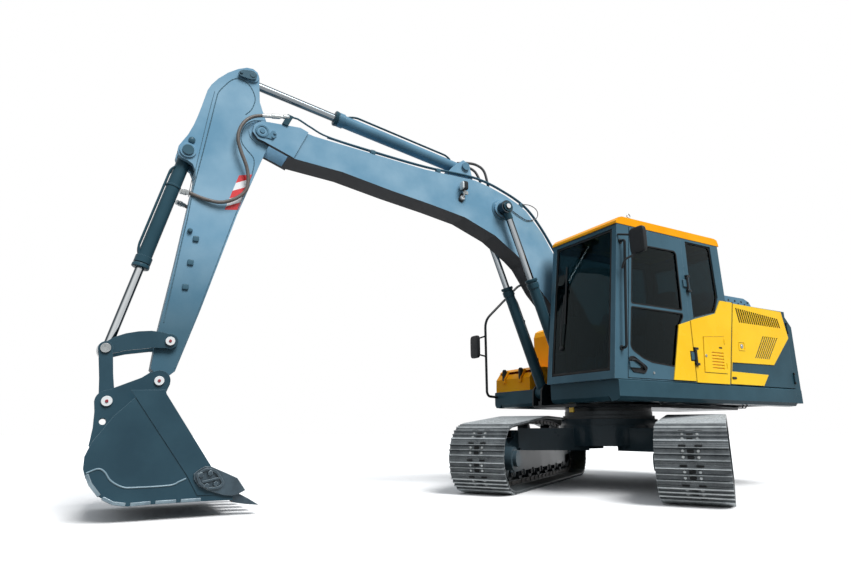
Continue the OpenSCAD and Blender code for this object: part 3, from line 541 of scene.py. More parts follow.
def grid_faces(rows: int, cols: int, wrap: bool = True) -> Array:
    """Quads between neighbouring rows and columns of a grid of vertices.

    Args:
        rows: Number of rows.
        cols: Number of columns.
        wrap: Whether the last column joins the first.
    Returns:
        Vertex numbers, four for each quad.
    """
    last = cols if wrap else cols - 1
    r, c = np.meshgrid(np.arange(rows - 1) * cols, np.arange(last), indexing="ij")
    d = (c + 1) % cols
    return np.stack([r + c, r + d, r + cols + d, r + cols + c], axis=-1).reshape(-1, 4)


def revolve(profile: list[tuple[float, float]], origin: Array, axis: Array,
            sides: int = 24) -> Part:
    """Surface of revolution: each profile point (radius, height) makes a ring about the axis.

    Args:
        profile: Radius and height in metres, in order.
        origin: Point where the height is nought.
        axis: Unit direction of the axis.
        sides: Number of points in a ring.
    Returns:
        Vertices and faces; a radius of nought closes an end.
    """
    p = np.array(profile, float)
    pick = np.array([1.0, 0, 0]) if abs(axis[1]) > 0.9 else LEFT
    one = unit(np.cross(axis, pick))
    t = circle(sides)[:, None]
    ring = np.cos(t) * one + np.sin(t) * np.cross(axis, one)
    v = origin + p[:, 1, None, None] * axis + p[:, 0, None, None] * ring
    return v.reshape(-1, 3), [grid_faces(len(p), sides)]


def smooth_path(points: Array, count: int) -> Array:
    """Even points on a curve through the given points.

    Between two points the curve is a cubic of the four nearest ones, whose slope at a point is half
    the step from the one before to the one after. It is sampled finely, then spaced by arc length.

    Args:
        points: Points that the curve passes.
        count: Number of points wanted.
    Returns:
        The spaced points.
    """
    q = np.asarray(points, float)
    q = np.vstack([2 * q[0] - q[1], q, 2 * q[-1] - q[-2]])
    n = len(q) - 3
    s = np.linspace(0, n - 1e-9, 40 * n + 1)
    i = s.astype(int)
    t = (s - i)[:, None]
    a, b, c, d = q[i], q[i + 1], q[i + 2], q[i + 3]
    fine = 0.5 * (2 * b + (c - a) * t + (2 * a - 5 * b + 4 * c - d) * t ** 2
                  + (3 * b - a - 3 * c + d) * t ** 3)
    run = arc_lengths(fine)
    at = np.linspace(0, run[-1], count)
    return np.stack([np.interp(at, run, fine[:, k]) for k in range(3)], axis=1)


def corner_arcs(q: Array, back: Array, on: Array, radius: float, share: float) -> Array:
    """Arcs at corners, each a quadratic curve from the edge before the corner to the edge after.

    Args:
        q: Corners.
        back: Vector from each corner to the one before.
        on: Vector from each corner to the next.
        radius: Length cut off beside each corner.
        share: Largest share of an edge that is cut off.
    Returns:
        Points of all arcs in order.
    """
    short = np.minimum(np.linalg.norm(back, axis=1), np.linalg.norm(on, axis=1))[:, None]
    cut = np.minimum(radius, share * short)
    a, b = q + unit(back) * cut, q + unit(on) * cut
    t = np.linspace(0, 1, 6)[None, :, None]
    arc = (1 - t) ** 2 * a[:, None] + 2 * t * (1 - t) * q[:, None] + t ** 2 * b[:, None]
    return arc.reshape(-1, q.shape[1])


def rounded_path(points: Array, radius: float) -> Array:
    """Open path whose corners are arcs.

    Args:
        points: Corners of the path.
        radius: Length cut off beside each corner.
    Returns:
        The path with round corners.
    """
    q = points[1:-1]
    arcs = corner_arcs(q, points[:-2] - q, points[2:] - q, radius, 0.48)
    return np.vstack([points[:1], arcs, points[-1:]])


def rounded_outline(points: list[tuple[float, float]], radius: float) -> Array:
    """Closed outline with round corners.

    Args:
        points: Corners in order.
        radius: Length cut off beside each corner.
    Returns:
        The outline's points.
    """
    q = np.array(points, float)
    return corner_arcs(q, np.roll(q, 1, axis=0) - q, np.roll(q, -1, axis=0) - q, radius, 0.45)


def grown(outline: Array, by: float) -> Array:
    """Outline moved outwards: each point goes along the mean of its two edge normals.

    Args:
        outline: Points of the closed outline.
        by: Distance, negative for inwards.
    Returns:
        The moved points.
    """
    after = np.roll(outline, -1, axis=0)
    d = unit(after - np.roll(outline, 1, axis=0))
    area = np.sum(outline[:, 0] * after[:, 1] - outline[:, 1] * after[:, 0])
    return outline + by * np.sign(area) * np.stack([d[:, 1], -d[:, 0]], axis=1)


def sweep(path: Array, radius: float | Array, sides: int = 10) -> Part:
    """Tube: a circle of the given radius carried square to a path, closed by a cap at each end.

    Args:
        path: Points in metres.
        radius: One radius, or one for each point.
        sides: Points round the tube.
    Returns:
        Vertices and faces.
    """
    tan = unit(np.gradient(path, axis=0))
    span = np.ptp(path, axis=0)
    # A path in the X Z plane takes its ring from Y, any other from a slanted direction, so that
    # the ring never turns over.
    flat = span[1] < 0.3 * max(span[0], span[2])
    pick = np.array([0.03, 1.0, 0.02]) if flat else np.array([0.31, 0.27, 0.91])
    one = unit(np.cross(tan, pick))
    t = circle(sides)[None, :, None]
    r = np.broadcast_to(np.asarray(radius, float), (len(path),))[:, None, None]
    ring = np.cos(t) * one[:, None] + np.sin(t) * np.cross(tan, one)[:, None]
    last = (len(path) - 1) * sides
    caps = np.arange(sides) + np.array([[0], [last]])
    return (path[:, None] + r * ring).reshape(-1, 3), [grid_faces(len(path), sides), caps]


def pillow(centre: Any, half: tuple[float, float, float], power: float = 0.3,
           rows: int = 17, cols: int = 32) -> Part:
    """Rounded block: a superellipsoid, each axis the signed power of the sphere's sine or cosine.

    Args:
        centre: Middle in metres.
        half: Half sizes in metres.
        power: Small for a sharp block, one for an ellipsoid.
        rows: Rings from pole to pole.
        cols: Points in a ring.
    Returns:
        Vertices and faces.
    """
    u = circle(cols)[None, :]
    w = np.linspace(-math.pi / 2, math.pi / 2, rows)[:, None]
    bend = lambda x: np.sign(x) * np.abs(x) ** power
    ring = np.where(np.abs(np.cos(w)) < 1e-9, 0, bend(np.cos(w)))
    ball = [ring * bend(np.cos(u)), ring * bend(np.sin(u)), bend(np.sin(w)) * np.ones_like(u)]
    v = np.stack(ball, axis=-1).reshape(-1, 3) * np.array(half) + np.array(centre)
    return v, [grid_faces(rows, cols)]


def layer(outline: Array, y: float) -> Array:
    """Outline in X and Z, laid at one Y."""
    return np.stack([outline[:, 0], np.full(len(outline), y), outline[:, 1]], axis=1)


def prism(outline: Array, y0: float, y1: float, place: Place) -> Part:
    """Plate: an outline in X and Z carried from y0 to y1, with both ends closed.

    Args:
        outline: Points of the outline.
        y0: One face.
        y1: Other face.
        place: Takes points of the local frame into the shared frame.
    Returns:
        Vertices and faces.
    """
    n = len(outline)
    caps = np.arange(2 * n).reshape(2, n)
    return place(np.vstack([layer(outline, y0), layer(outline, y1)])), [grid_faces(2, n), caps]


def rim(outer: Array, inner: Array, y0: float, y1: float, place: Place) -> Part:
    """Flat ring between two outlines of the same count: a rectangle carried round the outline.

    Args:
        outer: Outer outline.
        inner: Inner outline.
        y0: Back face.
        y1: Front face.
        place: Takes points of the local frame into the shared frame.
    Returns:
        Vertices and faces.
    """
    turns = ((outer, y0), (outer, y1), (inner, y1), (inner, y0), (outer, y0))
    loops = np.vstack([layer(q, y) for q, y in turns])
    return place(loops), [grid_faces(len(turns), len(outer))]


def scatter(part: Part, where: Array, turns: Array) -> Part:
    """Copies of a part: each vertex is turned by a matrix and moved, for all places at once.

    Args:
        part: Vertices and faces of one copy.
        where: Places, one row each.
        turns: A matrix for each place, whose columns are the copy's axes.
    Returns:
        Vertices and faces of all copies.
    """
    v, faces = part
    out = np.einsum("nij,mj->nmi", turns, v) + where[:, None]
    shift = (np.arange(len(where)) * len(v))[:, None, None]
    return out.reshape(-1, 3), [(f[None] + shift).reshape(-1, f.shape[1]) for f in faces]


def chart_tube(mesh: bpy.types.Mesh, along: Array, around: Array) -> None:
    """Give a tube its own map in metres, so that a wrap print follows its run.

    Args:
        mesh: Mesh of one tube, whose side quads come before its caps.
        along: Length along the tube at each ring.
        around: Length round the tube at each point of a ring.
    """
    r, c = np.meshgrid(np.arange(len(along) - 1), np.arange(len(around)), indexing="ij")
    wide = np.append(around, around[-1] + around[1])
    corners = ((r, c), (r, c + 1), (r + 1, c + 1), (r + 1, c))
    quad = np.stack([np.stack([along[i], wide[j]], -1) for i, j in corners], axis=2)
    flat = np.zeros((len(mesh.loops), 2))
    flat[:quad.size // 2] = quad.reshape(-1, 2)
    mesh.uv_layers.new(name="run").data.foreach_set("uv", flat.ravel())


def make_mesh(name: str, parts: list[Part],
              run_map: tuple[Array, Array] | None = None) -> bpy.types.Object:
    """Join parts into one object at the origin, with doubles merged and faces pointing outwards.

    Args:
        name: Name of the object.
        parts: Vertices and faces in metres.
        run_map: Lengths along and round a single tube, for its own map.
    Returns:
        The object, linked to the scene.
    """
    faces: list[list[int]] = []
    base = 0
    for v, groups in parts:
        for group in groups:
            faces.extend((group + base).tolist())
        base += len(v)
    mesh = bpy.data.meshes.new(name)
    mesh.from_pydata(np.vstack([v for v, _ in parts]).tolist(), [], faces)
    if run_map is not None:
        chart_tube(mesh, *run_map)
    work = bmesh.new()
    work.from_mesh(mesh)
    bmesh.ops.remove_doubles(work, verts=work.verts[:], dist=1e-6)
    bmesh.ops.recalc_face_normals(work, faces=work.faces[:])
    work.to_mesh(mesh)
    work.free()
    mesh.shade_smooth()
    mesh.set_sharp_from_angle(angle=math.radians(SHARP_DEG))
    obj = bpy.data.objects.new(name, mesh)
    bpy.context.scene.collection.objects.link(obj)
    return obj


def fit(name: str, parts: list[Part], finish: Finish, body: Body, slot: Slot,
        bevel: float = 0.0) -> bpy.types.Object:
    """Make a piece, give it its finish and let it ride on a body.

    Args:
        name: Name of the piece.
        parts: Its vertices and faces.
        finish: Its finish.
        body: Body that carries it.
        slot: Material slot of the record; not used.
        bevel: Width of the bevel on its sharp edges, in metres.
    Returns:
        The piece.
    """
    obj = make_mesh(name, parts)
    obj.data.materials.append(finish.material())
    if bevel > 0:
        mod = obj.modifiers.new("soft_edge", "BEVEL")
        mod.width = bevel
        mod.segments = 2
        mod.limit_method = "ANGLE"
        mod.angle_limit = math.radians(BEVEL_DEG)
    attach(obj, body.value)
    log.info("%s: %d vertices on %s", name, len(obj.data.vertices), body.value)
    return obj


@dataclass(frozen=True)
class Jig:
    """Local frame in the X Z plane: origin and lane in millimetres, heading in degrees."""

    x: float = 0.0
    z: float = 0.0
    deg: float = 0.0
    y: float = 0.0

    @classmethod
    def between(cls, start: tuple[float, float], end: tuple[float, float], lane: float) -> "Jig":
        """Frame at one pin that heads for another.

        Args:
            start: X and Z of the pin at the origin.
            end: X and Z of the pin ahead.
            lane: Y of the frame.
        Returns:
            The frame.
        """
        return cls(*start, math.degrees(math.atan2(end[1] - start[1], end[0] - start[0])), lane)

    def turn(self) -> Array:
        """Matrix whose columns are the frame's axes.

        Returns:
            Three rows of three.
        """
        c, s = math.cos(math.radians(self.deg)), math.sin(math.radians(self.deg))
        return np.array([[c, 0, -s], [0, 1, 0], [s, 0, c]])

    def at(self, points: Any) -> Array:
        """Take local millimetres to shared metres: turn by the heading, then move to the origin.

        Args:
            points: Rows of along, across and up.
        Returns:
            Rows of X, Y and Z in metres.
        """
        local = np.asarray(points, float)
        return (local @ self.turn().T + np.array([self.x, self.y, self.z])) / 1000.0

    def spot(self, along: float, across: float, up: float) -> Array:
        """One local point in shared metres."""
        return self.at([[along, across, up]])[0]

    def run(self, points: Any, lane: Any) -> Array:
        """Take rows of along and up to shared metres.

        Args:
            points: Rows of along and up, in millimetres.
            lane: One lane, or one for each row.
        Returns:
            Rows of X, Y and Z in metres.
        """
        p = np.asarray(points, float)
        across = np.broadcast_to(np.asarray(lane, float), (len(p),))
        return self.at(np.stack([p[:, 0], across, p[:, 1]], axis=1))


MID_Y = -70  # Lane of the boom's middle plane, mm.
SIDE_Y = 1245.0  # Left face of the housing, mm.
FLAT = Jig()
BOOM = Jig(195, 1651, 23.07, MID_Y)
ARM = Jig(4443.7, 3460.6, -74.7, MID_Y)
BUCKET = Jig(5109.7, 1026.0, 0.0, MID_Y)
# Pins in X and Z, mm.
BOOM_FOOT_PIN, BOOM_ROD_PIN = (745, 1095), (1590.4, 3195.3)
ARM_FOOT_PIN, ARM_ROD_PIN = (2060, 3664.9), (4570.3, 4043.7)
BUCKET_FOOT_PIN, BUCKET_ROD_PIN = (5080.3, 3115.4), (5516.7, 1269.0)
ROCKER_PIN = (5054.8, 1359.4)
BOOM_CYLINDER_LANE = 235  # Each boom cylinder's distance from the middle plane, mm.


def turned(profile: list[tuple[float, float]], jig: Jig, spot: tuple[float, float, float],
           side: int, sides: int = 24) -> Part:
    """Turned piece that stands out from a side: a profile revolved about the Y axis.

    Args:
        profile: Radius and height in metres.
        jig: Frame of the spot.
        spot: Along, across and up in millimetres.
        side: One for left, minus one for right.
        sides: Number of points in a ring.
    Returns:
        Vertices and faces.
    """
    return revolve(profile, jig.spot(*spot), side * LEFT, sides)


def washer(jig: Jig, at: tuple[float, float], lane: float, radius: float, side: int,
           thick: float = 8.0) -> Part:
    """Disc on a pin's end with a chamfered rim.

    Args:
        jig: Frame of the pin.
        at: Along and up in millimetres.
        lane: Where its back lies.
        radius: Radius in millimetres.
        side: One for left, minus one for right.
        thick: Thickness in millimetres.
    Returns:
        Vertices and faces.
    """
    r, t = radius / 1000, thick / 1000
    profile = [(0, 0), (r, 0), (r, 0.75 * t), (r - 0.25 * t, t), (0, t)]
    return turned(profile, jig, (at[0], lane, at[1]), side, 28)


def bolt(origin: Array, axis: Array, radius: float, high: float) -> Part:
    """Hexagon head with a chamfered top, sunk a little: six-sided rings about the bolt's axis.

    Args:
        origin: Where the head sits.
        axis: Unit direction of the bolt.
        radius: Radius over the corners in metres.
        high: Height in metres.
    Returns:
        Vertices and faces.
    """
    sunk = -0.002
    profile = [(0, sunk), (radius, sunk), (radius, 0.8 * high), (0.85 * radius, high), (0, high)]
    return revolve(profile, origin, axis, 6)


def fitting(a: Array, b: Array, radius: float) -> Part:
    """Hose fitting: a ferrule, a nut and a collar as one stepped profile between two points.

    Args:
        a: End at the hose.
        b: End at the pipe.
        radius: Radius of the ferrule in metres.
    Returns:
        Vertices and faces.
    """
    n = float(np.linalg.norm(b - a))
    steps = [(0, 0), (1, 0), (1, 0.35), (1.25, 0.36), (1.25, 0.66), (0.85, 0.67), (0.85, 0.78),
             (1.1, 0.79), (1.1, 1), (0, 1)]
    return revolve([(r * radius, h * n) for r, h in steps], a, unit(b - a), 12)


def gland(jig: Jig, along: float, bore: float, flange: float, collar: float, end: float) -> Part:
    """Gland ring at a barrel's open end: a stepped ring about the cylinder's axis.

    Args:
        jig: Frame of the cylinder.
        along: Where the ring begins, in millimetres.
        bore: Inner radius in metres.
        flange: Radius at the back.
        collar: Radius of the widest step.
        end: Radius at the front.
    Returns:
        Vertices and faces.
    """
    profile = [(bore, 0), (flange, 0), (collar, 0.006), (collar, 0.030), (end, 0.036),
               (bore, 0.036)]
    return revolve(profile, jig.spot(along, 0, 0), jig.turn()[:, 0], 32)


def hose(name: str, path: Array, radius: float, finish: Finish,
         bodies: tuple[Body, Body | None], hold: tuple[Array, Array] | None = None,
         sides: int = 14) -> bpy.types.Object:
    """Free hose: a round tube on a smooth path, with its own map in metres.

    Args:
        name: Name of the piece.
        path: Points of the route in metres.
        radius: Outer radius in metres.
        finish: Its cover.
        bodies: Body that carries it, and the second body where it crosses a joint; a hose that
            crosses a joint is left on no body.
        hold: Where it leaves the first body and where it reaches the second; only whether it is
            given is used.
        sides: Points round the tube.
    Returns:
        The hose.
    """
    along = arc_lengths(path)
    obj = make_mesh(name, [sweep(path, radius, sides)], (along, circle(sides) * radius))
    obj.data.materials.append(finish.material())
    if bodies[1] is not None and hold is not None:
        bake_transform(obj)
    else:
        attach(obj, bodies[0].value)
    log.info("%s: hose of %.2f m", name, along[-1])
    return obj


@dataclass
class Studio:
    """Pale floor, soft light and the camera of the photograph's viewpoint."""

    eye: tuple[float, float, float] = (5.496, 5.286, 0.649)
    yaw_deg: float = -118.938
    pitch_deg: float = 14.311
    roll_deg: float = -0.078
    focal_px: float = 574.81
    width_px: int = 851
    sensor_mm: float = 36.0
    sky: tuple[float, float] = (0.34, 0.8)
    sun: float = 3.45
    sun_spread_deg: float = 30
    sun_heading: tuple[float, float, float] = (0.10, -0.63, -0.77)
    floor_half: float = 60.0
    floor_cuts: int = 13
    floor_z: float = -0.001

    def camera(self) -> None:
        """Make the camera: focal length in pixels over the image width gives the lens."""
        data = bpy.data.cameras.new("camera")
        data.sensor_fit = "HORIZONTAL"
        data.sensor_width = self.sensor_mm
        data.lens = self.sensor_mm * self.focal_px / self.width_px
        data.clip_end = 500.0
        obj = bpy.data.objects.new("camera", data)
        obj.location = self.eye
        obj.rotation_euler = (math.radians(90 + self.pitch_deg), math.radians(self.roll_deg),
                              math.radians(self.yaw_deg - 90))
        bpy.context.scene.collection.objects.link(obj)
        bpy.context.scene.camera = obj

    def light(self) -> None:
        """White for camera, gloss and glass; an even sky and one broad lamp for the rest."""
        scene = bpy.context.scene
        scene.view_settings.view_transform = "Standard"
        scene.world = bpy.data.worlds.new("studio")
        scene.world.use_nodes = True
        scene.world.node_tree.nodes.clear()
        g = Graph(scene.world.node_tree)
        up = g.add("SeparateXYZ", {0: g.add("TexCoord", out="Generated")}, 2)
        rise = g.add("MapRange", {0: up, 1: 0.0, 2: 1.0, 3: self.sky[0], 4: self.sky[1]})
        soft = g.add("Background", {0: linear("#eef3f8"), 1: rise})
        white = g.add("Background", {0: linear("#ffffff"), 1: 1.0})
        g.add("OutputWorld", {0: g.add("MixShader", {0: g.seen(), 1: soft, 2: white})})
        lamp = bpy.data.lights.new("key_light", "SUN")
        lamp.energy = self.sun
        lamp.angle = math.radians(self.sun_spread_deg)
        obj = bpy.data.objects.new("key_light", lamp)
        obj.rotation_euler = Vector(self.sun_heading).to_track_quat("-Z", "Y").to_euler()
        scene.collection.objects.link(obj)

    def floor(self) -> None:
        """One large matt sheet at the ground: pale to the eye, dim for the light it throws back."""
        u = np.linspace(-self.floor_half, self.floor_half, self.floor_cuts)
        x, y = np.meshgrid(u, u, indexing="ij")
        v = np.stack([x, y, np.full_like(x, self.floor_z)], axis=-1).reshape(-1, 3)
        quads = grid_faces(self.floor_cuts, self.floor_cuts, False)[:, ::-1]
        mesh = bpy.data.meshes.new("floor")
        mesh.from_pydata(v.tolist(), [], quads.tolist())
        paint = bpy.data.materials.new("matt_studio_floor")
        paint.use_nodes = True
        paint.node_tree.nodes.clear()
        g = Graph(paint.node_tree)
        place = g.add("TexCoord", out="Object")
        cloud = g.add("TexNoise", {"Vector": place, "Scale": 1 / 2.5, "Detail": 3.0})
        pale = g.add("Mix", {0: cloud, 6: linear("#f9f9f9"), 7: linear("#ffffff")}, 2,
                     data_type="RGBA")
        matt = g.add("BsdfDiffuse", {0: pale})
        dim = g.add("BsdfDiffuse", {0: linear("#62625f")})
        g.add("OutputMaterial", {0: g.add("MixShader", {0: g.seen(), 1: dim, 2: matt})})
        mesh.materials.append(paint)
        obj = bpy.data.objects.new("floor", mesh)
        bpy.context.scene.collection.objects.link(obj)
        obj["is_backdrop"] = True


NODE_FINISH: dict[Finish, str] = {
    SLATE_LOW: "car_body track_frames travel_motors",
    RUNNING_STEEL: "slew_ring sprockets idlers rollers engine_block",
    SHOE_STEEL: "track_left track_right",
    BLACK_ENAMEL: "main_frame cooling_pack bay_frame handrail exhaust_pipe boom_pipes",
    SLATE: "deck_skirts counterweight side_door_left boom_barrels bucket_barrel",
    SLATE_CAB: "cab_frame cab_door",
    SLATE_PANEL: "engine_hood arm_barrel",
    SLATE_BOOM: "boom",
    SLATE_ARM: "arm",
    SLATE_BUCKET: "bucket rocker_links bucket_link",
    ORANGE: "cab_roof fuel_tank tool_box tool_box_lid",
    AMBER: "cab_side_panel door_panel filter_cover side_trim_left side_door_right",
    GLASS: "cab_glass door_glass",
    CLOTH: "operator_seat",
    PLASTIC: "control_consoles mirrors work_lamp",
    CHROME: "boom_rods arm_rod bucket_rod",
    BLACK_HOSE: "arm_hoses",
    TOOTH_STEEL: "bucket_teeth",
}


def dress_nodes() -> None:
    """Give every node of the frame its finish."""
    for finish, names in NODE_FINISH.items():
        for name in names.split():
            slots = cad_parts[name].data.materials
            slots.clear()
            slots.append(finish.material())


@dataclass
class Undercarriage:
    """Ridges, bolts, slots, chain links and roller caps on the two track loops, in metres."""

    swing_deg: float = 33.8
    gauge: float = 2.0
    half_length: float = 1.53
    shoe_pitch: float = 0.171
    shoe_half: float = 0.2995
    plate: float = 0.010
    chain_z: float = -0.034
    loop_r: float = 0.324
    axle_z: float = 0.358
    carrier_r: float = 0.12
    carriers: tuple[tuple[float, float], ...] = ((0.24, 0.668), (-0.76, 0.658))
    ridge_rows: tuple[float, ...] = (0.17, 0.48, 0.8)
    bolt_rows: tuple[float, ...] = (0.325, 0.64)
    rollers: int = 7
    roller_pitch: float = 0.36

    def place(self, points: Array) -> Array:
        """Turn points of the track frame about the slew axis by the swing angle.

        Args:
            points: Rows of X, Y and Z.
        Returns:
            The turned rows.
        """
        c, s = math.cos(math.radians(self.swing_deg)), math.sin(math.radians(self.swing_deg))
        return points @ np.array([[c, -s, 0], [s, c, 0], [0, 0, 1]]).T

    def loop(self) -> Array:
        """Shoe joints: tangents and arcs round the four wheels, walked at even steps of length.

        Returns:
            X and Z of each joint, with the first repeated at the end.
        """
        ends = [[x, self.axle_z, self.loop_r] for x in (-self.half_length, self.half_length)]
        wheels = np.array(ends + [[*spot, self.carrier_r] for spot in self.carriers])
        after = np.roll(wheels, -1, axis=0)
        gap = after[:, :2] - wheels[:, :2]
        lean = np.arcsin((wheels[:, 2] - after[:, 2]) / np.linalg.norm(gap, axis=1))
        head = np.arctan2(gap[:, 1], gap[:, 0]) + lean
        line: list[Array] = []
        for i in range(len(wheels)):
            j = (i + 1) % len(wheels)
            out = np.array([math.sin(head[i]), -math.cos(head[i])])
            a = head[i] + np.linspace(0, (head[j] - head[i]) % FULL_TURN, 90)
            arc = after[i, :2] + after[i, 2] * np.stack([np.sin(a), -np.cos(a)], axis=1)
            line += [(wheels[i, :2] + wheels[i, 2] * out)[None], arc]
        fine = np.vstack(line + [line[0]])
        run = arc_lengths(fine)
        s = np.linspace(0, run[-1], round(run[-1] / self.shoe_pitch) + 1)
        return np.stack([np.interp(s, run, fine[:, k]) for k in range(2)], axis=1)

    def stations(self) -> tuple[Array, Array, float]:
        """Frame of each shoe: X runs along the shoe, Y across it, Z out of the loop.

        Returns:
            Places, matrices whose columns are the axes, and the mean length of a shoe.
        """
        q = self.loop()
        step = np.diff(q, axis=0)
        d = unit(step)
        zero = np.zeros(len(d))
        along = np.stack([d[:, 0], zero, d[:, 1]], axis=1)
        out = np.stack([d[:, 1], zero, -d[:, 0]], axis=1)
        turns = np.stack([along, np.cross(out, along), out], axis=2)
        size = float(np.mean(np.linalg.norm(step, axis=1)))
        return np.stack([q[:-1, 0], zero, q[:-1, 1]], axis=1), turns, size

    def details(self, w: float) -> dict[str, tuple[list[Part], Finish, Slot]]:
        """Pieces of one shoe, in the shoe's own frame.

        Args:
            w: Length of a shoe.
        Returns:
            For each kind of piece its parts, finish and slot.
        """
        top = self.plate
        ridge = np.array([[-0.006, top + 0.014], [0.0, top + 0.0245], [0.006, top + 0.014]])
        ridges = [prism(ridge + np.array([g * w, 0.0]), -self.shoe_half, self.shoe_half,
                        np.asarray) for g in self.ridge_rows]
        heads = [bolt(np.array([f * w, y, top]), UP, 0.015, 0.013)
                 for f in self.bolt_rows for y in (-0.062, 0.062)]
        # Two slots between the bolts, and two windows over the chain at the shoe's end; black pads
        # stand in for these openings as painted shade.
        holes = [(f, 0.0, 0.014, 0.028) for f in self.bolt_rows]
        holes += [(0.93, y, 0.009, 0.032) for y in (-0.066, 0.066)]
        slots = [pillow((f * w, y, top + 0.002), (long, wide, 0.004), 0.4, 7, 16)
                 for f, y, long, wide in holes]
        t = circle(12)
        lozenge = np.stack([w / 2 + 0.09 * np.cos(t), self.chain_z + 0.024 * np.sin(t)], axis=1)
        chain = [prism(lozenge, y, y + 0.012, np.asarray) for y in (-0.0875, 0.0755)]
        pin = [(0, 0), (0.019, 0), (0.019, 0.008), (0, 0.010)]
        chain += [revolve(pin, np.array([0.0, s * 0.0872, self.chain_z]), s * LEFT, 10)
                  for s in SIDES]
        return {"shoe_ridges": (ridges, RIDGE_STEEL, Slot.SHOE),
                "shoe_bolts": (heads, ZINC, Slot.SHOE),
                "shoe_slots": (slots, RUBBER, Slot.DARK),
                "chain_links": (chain, CHAIN_STEEL, Slot.SHOE)}

    def build(self) -> None:
        """Copy the pieces of a shoe round both loops, and cap the rollers."""
        base, turns, length = self.stations()
        tracks = {"left": self.gauge / 2, "right": -self.gauge / 2}
        for name, y in tracks.items():
            for kind, (parts, finish, slot) in self.details(length).items():
                copies = [scatter(part, base, turns) for part in parts]
                moved = [(self.place(v + y * LEFT), f) for v, f in copies]
                fit(f"{kind}_{name}", moved, finish, Body.TRACKS, slot)
        cap = [(0, 0), (0.034, 0), (0.034, 0.010), (0.02, 0.016), (0, 0.016)]
        first = -self.half_length + 0.44
        caps = [revolve(cap, np.array([first + i * self.roller_pitch, y + s * 0.128, 0.1723]),
                        s * LEFT, 16)
                for y in tracks.values() for i in range(self.rollers) for s in SIDES]
        fit("roller_caps", [(self.place(v), f) for v, f in caps], RUNNING_STEEL, Body.TRACKS,
            Slot.DARK)


